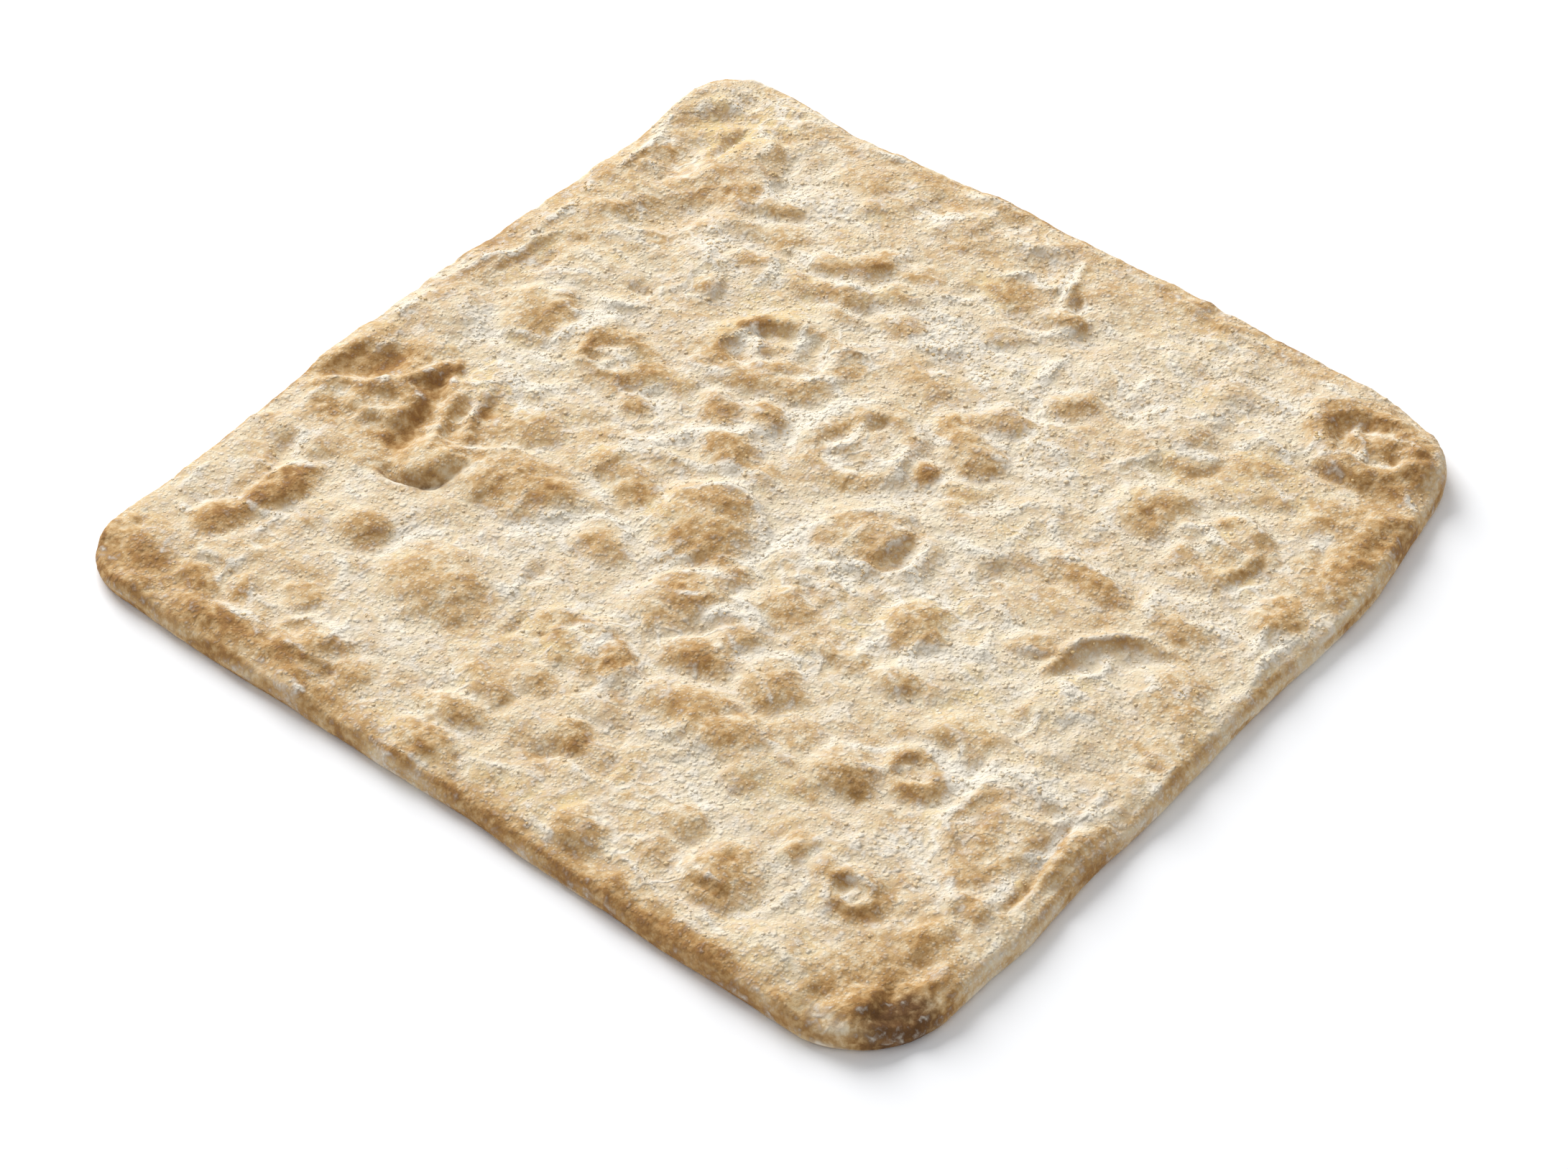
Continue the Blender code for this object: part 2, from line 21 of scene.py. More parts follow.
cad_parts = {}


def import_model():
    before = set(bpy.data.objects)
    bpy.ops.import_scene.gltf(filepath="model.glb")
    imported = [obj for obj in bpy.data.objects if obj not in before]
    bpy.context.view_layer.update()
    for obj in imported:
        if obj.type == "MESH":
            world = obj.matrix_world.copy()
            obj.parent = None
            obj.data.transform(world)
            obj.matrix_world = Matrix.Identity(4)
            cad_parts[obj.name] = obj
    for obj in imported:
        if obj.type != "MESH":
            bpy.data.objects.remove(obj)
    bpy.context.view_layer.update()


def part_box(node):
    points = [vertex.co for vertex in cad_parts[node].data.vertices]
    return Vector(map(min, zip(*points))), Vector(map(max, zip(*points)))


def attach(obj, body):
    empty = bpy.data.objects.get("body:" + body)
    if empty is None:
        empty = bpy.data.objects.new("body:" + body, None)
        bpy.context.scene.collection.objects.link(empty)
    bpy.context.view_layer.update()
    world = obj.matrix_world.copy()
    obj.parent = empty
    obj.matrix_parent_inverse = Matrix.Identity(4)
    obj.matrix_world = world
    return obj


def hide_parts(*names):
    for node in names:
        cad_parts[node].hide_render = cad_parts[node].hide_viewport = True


LOG = logging.getLogger("pizza_base")
MM = 0.001
NODE = "pizza_base"
BODY = "root"
BAKE_MAP = "OFBake"

# Driving sizes of the bread, as the solid has them: half of each side, and the height of the skin
# between the bubbles.
HALF_X = 144.55
HALF_Y = 139.1
FIELD_HEIGHT = 7.3
# The top skin ends this far inside the outline, and rolls down by EDGE_DROP over the last EDGE_ROLL.
TOP_INSET = 3.4
EDGE_ROLL = 11.0
EDGE_DROP = 1.5
# Middle of the outline, from the middle of the dough that the tables count from.
MIDDLE_X = -0.85
MIDDLE_Y = 1.1
# How much higher the oven has driven every bubble and fold than the risen dough had it, and how
# much deeper the hollows between them have been left.
OVEN_SPRING = 1.5
HOLLOW_SPRING = 1.1
# What every random draw starts from.
SEED = 26


class Side(Enum):
    """The four sides of the bread, named as they are seen from its front."""

    NEAR = "near"
    FAR = "far"
    LEFT = "left"
    RIGHT = "right"


class Tint(Enum):
    """What a patch of the skin has more of; the value names the mesh attribute."""

    # toast is the oven's browning, and also holds painted shade on the slopes that face away from the
    # lamp.
    TOAST = "toast"
    CHAR = "char"
    HONEY = "honey"
    # Painted shade: a greyer olive tone where shade falls in hollows and at the feet of bubbles.
    HOLLOW_SHADE = "hollow_shade"
    FLOUR = "flour"


def ease(share: np.ndarray) -> np.ndarray:
    """Smooth step from 0 to 1."""
    share = np.clip(share, 0.0, 1.0)
    return share * share * (3 - 2 * share)


class Grain:
    """Seeded two-dimensional gradient noise, about -1 to 1."""

    LATTICE = 256
    # Brings the noise's swing from about two thirds to about 1.
    SWING = 1.5

    def __init__(self, seed: int) -> None:
        """Draw the lattice of slopes.

        Args:
            seed: what the draw starts from.
        """
        angles = np.random.default_rng(seed).uniform(0, 2 * np.pi, (self.LATTICE, self.LATTICE))
        self.slope_x = np.cos(angles)
        self.slope_y = np.sin(angles)

    def at(self, x: np.ndarray, y: np.ndarray, size: float, turn: float = 0.0,
           stretch: float = 1.0) -> np.ndarray:
        """Read the noise.

        Args:
            x: places along X.
            y: places along Y.
            size: width of its lumps.
            turn: direction in degrees along which they are drawn out.
            stretch: how many times longer than wide they are.

        Returns:
            The noise at each place.
        """
        c, s = math.cos(math.radians(turn)), math.sin(math.radians(turn))
        u = (x * c + y * s) / (size * stretch)
        v = (y * c - x * s) / size
        column, row = np.floor(u).astype(int), np.floor(v).astype(int)
        du, dv = u - column, v - row
        blend_u = du ** 3 * (du * (du * 6 - 15) + 10)
        blend_v = dv ** 3 * (dv * (dv * 6 - 15) + 10)

        def corner(i: int, j: int) -> np.ndarray:
            """Slope at a lattice corner times the way to it."""
            a, b = (column + i) % self.LATTICE, (row + j) % self.LATTICE
            return self.slope_x[a, b] * (du - i) + self.slope_y[a, b] * (dv - j)

        low = corner(0, 0) * (1 - blend_u) + corner(1, 0) * blend_u
        high = corner(0, 1) * (1 - blend_u) + corner(1, 1) * blend_u
        return self.SWING * (low * (1 - blend_v) + high * blend_v)


GRAINS = [Grain(SEED + layer) for layer in range(24)]


def layered(first: int, waves: tuple[tuple[float, float], ...], x: np.ndarray, y: np.ndarray,
            turn: float = 0.0, stretch: float = 1.0) -> np.ndarray:
    """Add up noise of several sizes.

    Args:
        first: number of the grain that the first wave reads; each next wave reads the next grain.
        waves: size and swing of each.
        x: places along X.
        y: places along Y.
        turn: direction in degrees along which the lumps are drawn out.
        stretch: how many times longer than wide they are.

    Returns:
        The sum at each place.
    """
    return sum(swing * GRAINS[first + i].at(x, y, size, turn, stretch)
               for i, (size, swing) in enumerate(waves))


@dataclass(frozen=True)
class Spot:
    """An oval place on the skin: centre, half axes and turn in degrees."""

    x: float
    y: float
    long: float
    short: float
    turn: float

    def radius_in(self, x: np.ndarray, y: np.ndarray) -> np.ndarray:
        """Distance from the centre, where 1 is the outline.

        Args:
            x: places along X.
            y: places along Y.

        Returns:
            The distance of each place.
        """
        c, s = math.cos(math.radians(self.turn)), math.sin(math.radians(self.turn))
        along = ((x - self.x) * c + (y - self.y) * s) / self.long
        across = ((y - self.y) * c - (x - self.x) * s) / self.short
        return np.hypot(along, across)

    def near(self, x: np.ndarray, y: np.ndarray, reach: float = 1.75) -> np.ndarray:
        """Which places are close enough for the spot to change them."""
        span = reach * max(self.long, self.short)
        return (np.abs(x - self.x) < span) & (np.abs(y - self.y) < span)


@dataclass(frozen=True)
class Bubble(Spot):
    """A bubble in the skin; one that has fallen in keeps a rim round a bowl sink lower.

    toast is how brown its crown has baked.
    """

    # Square of the radius where the dome ends, and how fast it falls off towards it.
    DOME_END: ClassVar[float] = 1.35
    DOME_FALL: ClassVar[float] = 1.7
    # The moat round its foot: depth as a share of the rise, radius and width.
    MOAT: ClassVar[tuple[float, float, float]] = (0.12, 1.15, 0.25)
    # How far out of the bowl its wall starts, and its toast grows paler, how wide the wall is, and how
    # much paler the bowl is.
    BOWL_LIP: ClassVar[float] = 0.12
    PALE_LIP: ClassVar[float] = 0.1
    BOWL_WALL: ClassVar[float] = 0.3
    BOWL_PALER: ClassVar[float] = 0.2

    rise: float
    toast: float = 0.4
    sink: float = 0.0
    bowl: float = 0.6

    def dome(self, r: np.ndarray) -> np.ndarray:
        """Share of the rise at a distance from the middle."""
        return np.clip(1 - r * r / self.DOME_END, 0, 1) ** self.DOME_FALL

    def fallen(self, r: np.ndarray, lip: float) -> np.ndarray:
        """Share of the bowl's depth at a distance from the middle, where its wall starts at lip."""
        return ease((self.bowl + lip - r) / self.BOWL_WALL)

    def height(self, x: np.ndarray, y: np.ndarray) -> np.ndarray:
        """Dome with a shallow moat round its foot, and a bowl where it has fallen in.

        Args:
            x: places along X.
            y: places along Y.

        Returns:
            What the bubble adds to the skin's height there.
        """
        r = self.radius_in(x, y)
        depth, radius, width = self.MOAT
        moat = depth * np.exp(-((r - radius) / width) ** 2)
        bowl = self.sink * self.fallen(r, self.BOWL_LIP)
        return OVEN_SPRING * (self.rise * (self.dome(r) - moat) - bowl)

    def browning(self, x: np.ndarray, y: np.ndarray) -> np.ndarray:
        """Toast on the crown, less of it in the bowl.

        Args:
            x: places along X.
            y: places along Y.

        Returns:
            How much browner the bubble makes each place.
        """
        r = self.radius_in(x, y)
        shade = np.exp(-r ** 2)
        if self.sink:
            shade = shade * (1 - self.BOWL_PALER * self.fallen(r, self.PALE_LIP))
        return self.toast * shade


@dataclass(frozen=True)
class Dent(Spot):
    """A hollow between bubbles, with the toast on its floor and the painted shade laid in it."""

    # Square of the radius where the hollow ends, and how fast it rises towards it.
    BOWL_END: ClassVar[float] = 1.4
    BOWL_FALL: ClassVar[float] = 1.6

    depth: float
    toast: float = 0.0
    hollow_shade: float = 0.0

    def height(self, x: np.ndarray, y: np.ndarray) -> np.ndarray:
        """Bowl below the skin round it."""
        bowl = np.clip(1 - self.radius_in(x, y) ** 2 / self.BOWL_END, 0, 1)
        return -HOLLOW_SPRING * self.depth * bowl ** self.BOWL_FALL


@dataclass(frozen=True)
class Fold:
    """A ridge, or with rise below zero a crease, along a smooth line.

    left and right are its widths on either side of the line as it runs; toast tints it.
    """

    # The widths of the fold after which nothing of it is left.
    FADED: ClassVar[float] = 3.0

    points: tuple[tuple[float, float], ...]
    left: float
    right: float
    rise: float
    toast: float = 0.0

    def line(self, step: float = 1.0) -> np.ndarray:
        """Draw a Catmull-Rom curve through the fold's own points.

        Args:
            step: about how far apart the curve's points are.

        Returns:
            The curve's points.
        """
        p = np.array(self.points, float)
        q = np.vstack([2 * p[0] - p[1], p, 2 * p[-1] - p[-2]])
        line = []
        for a, b, c, d in zip(q, q[1:], q[2:], q[3:]):
            count = max(2, int(np.hypot(*(c - b)) / step))
            t = np.linspace(0, 1, count, endpoint=False)[:, None]
            bend = (2 * a - 5 * b + 4 * c - d) * t ** 2 + (3 * b - a - 3 * c + d) * t ** 3
            line.append(b + 0.5 * ((c - a) * t + bend))
        line.append(p[-1:])
        return np.vstack(line)

    def near(self, x: np.ndarray, y: np.ndarray) -> np.ndarray:
        """Find the places that the fold can change.

        Args:
            x: places along X.
            y: places along Y.

        Returns:
            Whether each place is close enough.
        """
        low, high = np.min(self.points, axis=0), np.max(self.points, axis=0)
        span = self.FADED * max(self.left, self.right) + 1.0
        return ((x > low[0] - span) & (x < high[0] + span)
                & (y > low[1] - span) & (y < high[1] + span))

    def section(self, x: np.ndarray, y: np.ndarray) -> np.ndarray:
        """Share of the rise: it fades to the fold's ends and falls off to either side.

        Args:
            x: places along X.
            y: places along Y.

        Returns:
            The share at each place.
        """
        line = self.line()
        starts, runs = line[:-1], np.diff(line, axis=0)
        lengths = np.hypot(runs[:, 0], runs[:, 1])
        travelled = np.concatenate([[0.0], np.cumsum(lengths)])
        nearest = np.full(x.shape, np.inf)
        side = np.zeros(x.shape)
        along = np.zeros(x.shape)
        for start, run, length, before in zip(starts, runs, lengths, travelled):
            dx, dy = x - start[0], y - start[1]
            share = np.clip((dx * run[0] + dy * run[1]) / length ** 2, 0, 1)
            away_x, away_y = dx - share * run[0], dy - share * run[1]
            distance = np.hypot(away_x, away_y)
            closer = distance < nearest
            nearest = np.where(closer, distance, nearest)
            side = np.where(closer, run[0] * away_y - run[1] * away_x, side)
            along = np.where(closer, (before + share * length) / travelled[-1], along)
        width = np.where(side > 0, self.left, self.right)
        taper = np.sqrt(np.clip(4 * along * (1 - along), 0, 1))
        return taper * np.exp(-(nearest / width) ** 2)


@dataclass(frozen=True)
class Patch(Spot):
    """A tinted place with a soft, uneven edge; a strength below zero takes the tint off."""

    # How far out the tint reaches, where 1 is the outline, and how fast it fades towards there.
    REACH: ClassVar[float] = 1.7
    FADE: ClassVar[float] = 0.75

    tint: Tint
    strength: float

    def share(self, x: np.ndarray, y: np.ndarray) -> np.ndarray:
        """How much of the tint each place takes."""
        return self.strength * ease(self.FADE * (self.REACH - self.radius_in(x, y)))


@dataclass(frozen=True)
class Swell:
    """A stretch of the outline that stands out, or in if out is below zero."""

    side: Side
    at: float
    reach: float
    out: float


# Where the outline swells out or draws in: side, station along it, reach, and how far.
SWELLS = tuple(Swell(*sizes) for sizes in (
    (Side.FAR, -122, 16, 1.2), (Side.FAR, -84, 18, -1.8), (Side.FAR, -22, 26, 1.6),
    (Side.FAR, 30, 16, 1.2), (Side.FAR, 108, 26, -2.3), (Side.LEFT, -102, 26, -1.9),
    (Side.LEFT, -28, 18, 1.8), (Side.LEFT, 14, 20, 1.7), (Side.LEFT, 90, 26, -2.0),
    (Side.RIGHT, -82, 14, 1.4), (Side.RIGHT, -28, 18, 0.7), (Side.RIGHT, 60, 20, 1.0),
    (Side.RIGHT, 105, 22, -4.6), (Side.NEAR, -84, 26, 0.8), (Side.NEAR, 5, 20, -0.8),
    (Side.NEAR, 78, 24, 0.6),
))

# The named bubbles: place, half axes, turn, rise, toast and, where they have fallen in, sink and bowl.
FAR_BUBBLES = (
    (-107, 98, 14, 19, -18, 2.0, 0.1), (-104, 114, 9, 6, 10, 0.8, 0.25), (-83, 95, 8, 4.5, 20, 1.0, 0.5),
    (-95, 92, 9, 9, 0, 1.2, 0.1), (-54, 85, 8, 5, 25, 1.0, 0.55), (-55, 72, 8, 6, 20, 0.8, 0.35),
    (-78, 55, 5, 5, 20, 1.3, 0.6), (-72, 86, 9, 7, 20, 0.9, 0.1), (-73, 122, 12, 7, 10, 0.6, 0.1),
    (-75, 72, 9, 5, 30, 0.8, 0.15), (-30, 120, 12, 9, 20, 0.8, 0.15), (-5, 108, 10, 7, 10, 0.9, 0.55),
    (14, 106, 8, 4, 15, 1.2, 0.25), (-44, 93, 9, 6, 40, 1.2, 0.5), (-31, 84, 9, 6, 20, 1.0, 0.15),
    (-31, 97, 8, 5, 40, 0.7, 0.45), (-44, 75, 10, 5.5, 15, 1.2, 0.45), (-38, 68.5, 8, 4, 15, 0.8, 0.6),
    (-23, 76, 9, 6, 15, 1.0, 0.5), (4, 91, 8, 5, 20, 0.7, 0.35), (37, 79, 9, 6, 50, 1.1, 0.4),
    (26, 62, 10, 6, 15, 0.9, 0.3), (-10, 62, 8, 7, 0, 0.6, 0.15),
    (112, 116, 23, 17, -8, 2.8, 0.4, 3.0, 0.55), (117, 118, 12, 7, 15, 1.4, 0.3),
    (129, 117, 8, 7, 60, 1.5, 0.3), (113, 126, 8, 5, 10, 1.3, 0.3), (125, 126, 7, 5, -30, 1.0, 0.3),
    (76, 113, 10, 5, 10, 0.7, 0.3), (78, 77, 7, 5, 30, 0.7, 0.15), (70, 87, 9, 7, 30, 0.8, 0.4),
    (92, 90, 9, 5, 10, 0.6, 0.3), (81, 58, 12, 11, 0, 1.9, 0.65),
    (104, 57, 14, 15, -20, 2.1, 0.45, 1.3, 0.6), (134, 78, 12, 24, 0, 1.2, 0.6),
    (119, 85, 8, 10, -10, 0.8, 0.2),
)
MIDDLE_BUBBLES = (
    (-107, 15, 13, 13, 20, 1.7, 0.4), (-104, 23, 9, 6, -30, 0.6, 0.6),
    (-78, 14, 18, 13, -10, 2.1, 0.45, 1.5, 0.45), (-86, 14, 6, 7, 0, 0.5, 0.7),
    (-60, 3, 7, 4, 0, 1.1, 0.6), (-60, 16, 10, 6, 0, 0.7, 0.15), (-140, -30, 9, 20, 0, 1.3, 0.15),
    (-117, -42, 11, 8, 25, 1.4, 0.25, 0.9, 0.5), (-75, -22, 10, 8, 30, 0.9, 0.35),
    (-88, -50, 11, 10, 20, 2.2, 0.1), (-63, -42, 18, 13, 10, 2.0, 0.65),
    (-41, 44, 26, 18, 22, 2.6, 0.4, 2.5, 0.62), (-38, 38, 11, 5, 28, 1.0, 0.2),
    (3, 28, 18, 19, -20, 2.2, 0.3, 1.4, 0.62), (23, 31, 4.5, 6.5, 0, 1.6, 0.8),
    (28, 45, 10, 8, 0, 1.6, 0.45), (18, 51, 9, 7, 0, 1.4, 0.5), (36, 31, 8, 6, 0, 0.9, 0.3),
    (37, 24, 6, 4, 0, 0.7, 0.4), (-40, 17, 8.5, 6.5, -20, 1.6, 0.5), (-27, 22, 8, 7, 0, 1.4, 0.4),
    (-26, 4, 10, 7, 0, 1.6, 0.45), (-13, 4, 6, 6, 0, 0.8, 0.25), (27, 3, 19, 14, 10, 2.3, 0.35),
    (16, -5, 7, 7, 0, 0.8, 0.35), (-13, -23, 18, 17, -30, 2.6, 0.65), (-12, -12, 9, 6, 20, 0.6, 0.1),
    (-37, -23, 8.5, 8, 0, 1.5, 0.55), (-48, -19, 8, 7, 0, 1.2, 0.5), (-30, -44, 11, 8, 10, 1.5, 0.25),
    (6, -32, 8, 5, 10, 1.2, 0.3), (25, -34, 10, 8, 20, 1.1, 0.15), (2, -44, 12, 8, 20, 1.6, 0.5),
    (22, -48, 10, 7, 0, 1.2, 0.4), (31, -21, 5, 5, 0, 0.9, 0.5, 0.6), (58, -17, 10, 11, -30, 2.1, 0.55),
    (46, -38, 5, 4, 0, 0.8, 0.6), (53, -37, 6, 5, 0, 1.0, 0.5), (82, 25, 14, 6, -12, 1.2, 0.4),
    (112, 24, 9, 5, 15, 0.8, 0.35), (131, 45, 9, 9, 0, 1.5, 0.6), (125, 5, 12, 12, 0, 1.0, 0.3),
    (86, -2, 8, 5, 30, 0.9, 0.4), (66, -36, 8, 6, 10, 1.2, 0.5), (96, -39, 14, 9, 10, 1.1, 0.25),
    (118, -62, 14, 20, 5, 1.7, 0.4, 0.7, 0.6), (137, -58, 5, 20, -5, 0.9, 0.35),
)
NEAR_BUBBLES = (
    (-114, -84, 7, 14, -12, 1.8, 0.65), (-119, -103, 7, 9, -20, 1.4, 0.55),
    (-100, -88, 5, 9, 0, 0.5, 0.3), (-84, -82, 9, 8, 0, 1.1, 0.5), (-54, -82, 19, 15, 10, 1.7, 0.5),
    (-79, -110, 7, 6, 0, 1.0, 0.45, 0.4), (-94, -118, 5, 5, 0, 0.8, 0.5),
    (-106, -123, 8, 5, -10, 1.0, 0.5), (-63, -121, 14, 7, 0, 1.2, 0.35), (-66, -130, 14, 6, 0, 0.8, 0.7),
    (-94, -131, 14, 6, 0, 1.0, 0.65), (-126, -124, 9, 7, 0, 0.6, 0.45),
    (-6, -76, 18, 10, -5, 1.8, 0.4, 0.7, 0.5), (4, -75, 7, 6, -20, 1.0, 0.8),
    (-2, -54, 12, 8, 30, 1.0, 0.4), (20, -60, 12, 7, 20, 1.3, 0.45), (41, -57, 11, 9, -10, 1.6, 0.5),
    (32, -77, 17, 10, 5, 2.0, 0.5), (48, -77, 8, 10, 0, 1.1, 0.4), (-9, -94, 8, 5, 0, 0.9, 0.4),
    (13, -103, 8, 6, 10, 1.2, 0.45), (-18, -103, 12, 5, -15, 0.9, 0.4), (-18, -115, 12, 6, 15, 1.4, 0.5),
    (-17, -127, 12, 7, 0, 1.4, 0.65), (36, -125, 9, 7, -20, 1.3, 0.55), (-47, -122, 6, 6, 0, 0.9, 0.5),
    (90, -58, 11, 9, -10, 1.9, 0.5, 1.6, 0.5), (76, -68, 10, 8, -20, 1.5, 0.5),
    (57, -66, 9, 7, 0, 0.9, 0.4), (83, -96, 5, 6, 0, 1.0, 0.65), (92, -97, 5, 4, 0, 0.7, 0.3),
    (102, -99, 11, 9, 20, 1.8, 0.4, 1.5, 0.45), (55, -106, 8, 6, 0, 1.1, 0.45),
    (74, -113, 12, 12, 0, 1.8, 0.55), (56, -119, 7, 7, 0, 0.7, 0.5), (57, -88, 7, 5, 30, 0.6, 0.35),
    (73, -80, 7, 4, 0, 0.6, 0.35), (126, -96, 6, 7, 0, 0.8, 0.25), (129, -84, 7, 5, 0, 1.0, 0.35),
    (115, -121, 8, 7, 0, 0.8, 0.3), (127, -126, 7, 9, -30, 1.6, 0.9), (137, -127, 5, 6, -35, 1.0, 0.9),
    (85, -134, 12, 5, 0, 0.6, 0.6),
)
BUBBLES = tuple(Bubble(*sizes) for sizes in FAR_BUBBLES + MIDDLE_BUBBLES + NEAR_BUBBLES)

# The named hollows: place, half axes, turn, depth, toast and painted shade, a greyer olive tone laid
# where shade falls in the hollow.
DENTS = tuple(Dent(*sizes) for sizes in (
    (-123, 122, 21, 14, 10, 1.1), (-125, 104, 6.5, 5.5, 0, 2.0, 0.0, 0.7), (-123, 92, 9, 8, 20, 2.1, 0.7),
    (-126, 83, 8, 3.2, -5, 1.3, 0.7), (-128, 129, 8, 3.2, 8, 0.8, 0.3), (-127, 119, 9, 4.6, 25, 0.8, 0.3),
    (-110, 70, 15, 8, 45, 1.7, 0.2, 0.6), (-118, 62, 9, 4, 30, 0.8, 0.0, 0.5),
    (-87, 117, 6, 6, 0, 0.9, 0.0, 0.5), (-88, 103, 8, 4, 25, 1.0, 0.0, 0.5),
    (-87, 87, 8, 4, 20, 1.0, 0.0, 0.5), (-62, 66, 6, 4, 20, 0.7, 0.3), (-60, 125, 7, 8, 0, 0.4, 0.3),
    (-47, 121, 6, 7, 0, 0.9, 0.5), (-24, 133, 5, 4, 30, 0.6, 0.5), (-4, 123, 10, 10, 70, 1.7, 0.6),
    (13, 113, 6, 4.5, 50, 1.1, 0.4), (24, 104, 6, 9, -10, 1.0, 0.6), (5, 100, 9, 3, 5, 1.1, 0.6),
    (-16, 98.5, 5, 3.2, 10, 1.0, 0.0, 0.6), (-39, 87, 6, 5, 40, 1.3, 0.0, 0.5),
    (6, 84.5, 8, 3, 20, 0.8, 0.0, 0.5), (30, 69, 7, 3.2, -10, 1.3, 0.0, 0.6),
    (47, 121, 6, 4, 0, 0.5, 0.4), (44, 86, 6, 5, 0, 0.5, 0.2), (52, 84.5, 6, 5, 0, 1.1, 0.0, 0.5),
    (4, 74, 9, 7, 0, 0.5), (98, 120, 6, 5, 20, 0.9, 0.5), (112, 95, 12, 5, -10, 1.0, 0.0, 0.35),
    (70, 104, 22, 6, 0, 0.5), (82, 129, 8, 4, 0, 0.4, 0.4), (70, 72, 8, 4, -10, 1.2, 0.0, 0.5),
    (-126, 33, 5, 9, 0, 1.5, 0.5), (-103, 10, 6, 6, 0, 0.8, 0.0, 0.5),
    (-72, 19, 8, 4, -10, 1.2, 0.0, 0.5), (-86, -5, 8, 4, -30, 0.6), (-134, -33, 15, 5, 62, 2.0, 0.5),
    (-126, -28, 4, 9, 10, 1.2, 0.7), (-109, -25, 6, 10, 10, 2.0, 0.75), (-103, -42, 5, 14, 10, 1.9, 0.7),
    (-91, -25, 6, 6, 0, 1.3, 0.6), (-93, -37, 4, 4, 0, 0.8, 0.5), (-86, -16, 5, 4, 0, 0.6, 0.4),
    (39, 2, 5, 10, -8, 2.0, 0.55), (-14, -20, 5, 2.5, 0, 1.0, 0.6), (77, 20, 7, 2.6, 5, 0.9, 0.6),
    (108, 38, 10, 4, 10, 0.8, 0.0, 0.35), (101, 0, 4, 12, -15, 1.5, 0.0, 0.5),
    (108, 9, 6, 4, 20, 1.0, 0.5), (102, -27, 3, 5, 0, 0.7, 0.0, 0.4), (112, -24, 4, 6, 20, 0.7, 0.0, 0.6),
    (-124, -70, 4.5, 10, 8, 1.6, 0.6), (-102, -76, 5, 4, 0, 0.6, 0.0, 0.4),
    (-129, -101, 4, 5, 30, 1.0, 0.4), (-70, -121, 5, 3, 0, 0.9, 0.5), (-58, -121, 6, 3, 0, 0.8, 0.5),
    (-35, -65, 5, 4.5, 0, 1.0, 0.8), (-57, -71, 3, 3, 0, 0.6, 0.5), (-14, -73, 2.4, 2.8, 30, 1.1, 0.7),
    (-28, -93, 9, 5, 20, 0.6, 0.0, 0.4), (101, -98, 3, 2.4, 40, 0.8, 0.6),
    (132, -107, 5, 6.5, -15, 1.3, 0.6), (116, -132, 5, 4, 0, 0.6, 0.6), (134, -120, 5, 5, 0, 1.1, 0.9),
))

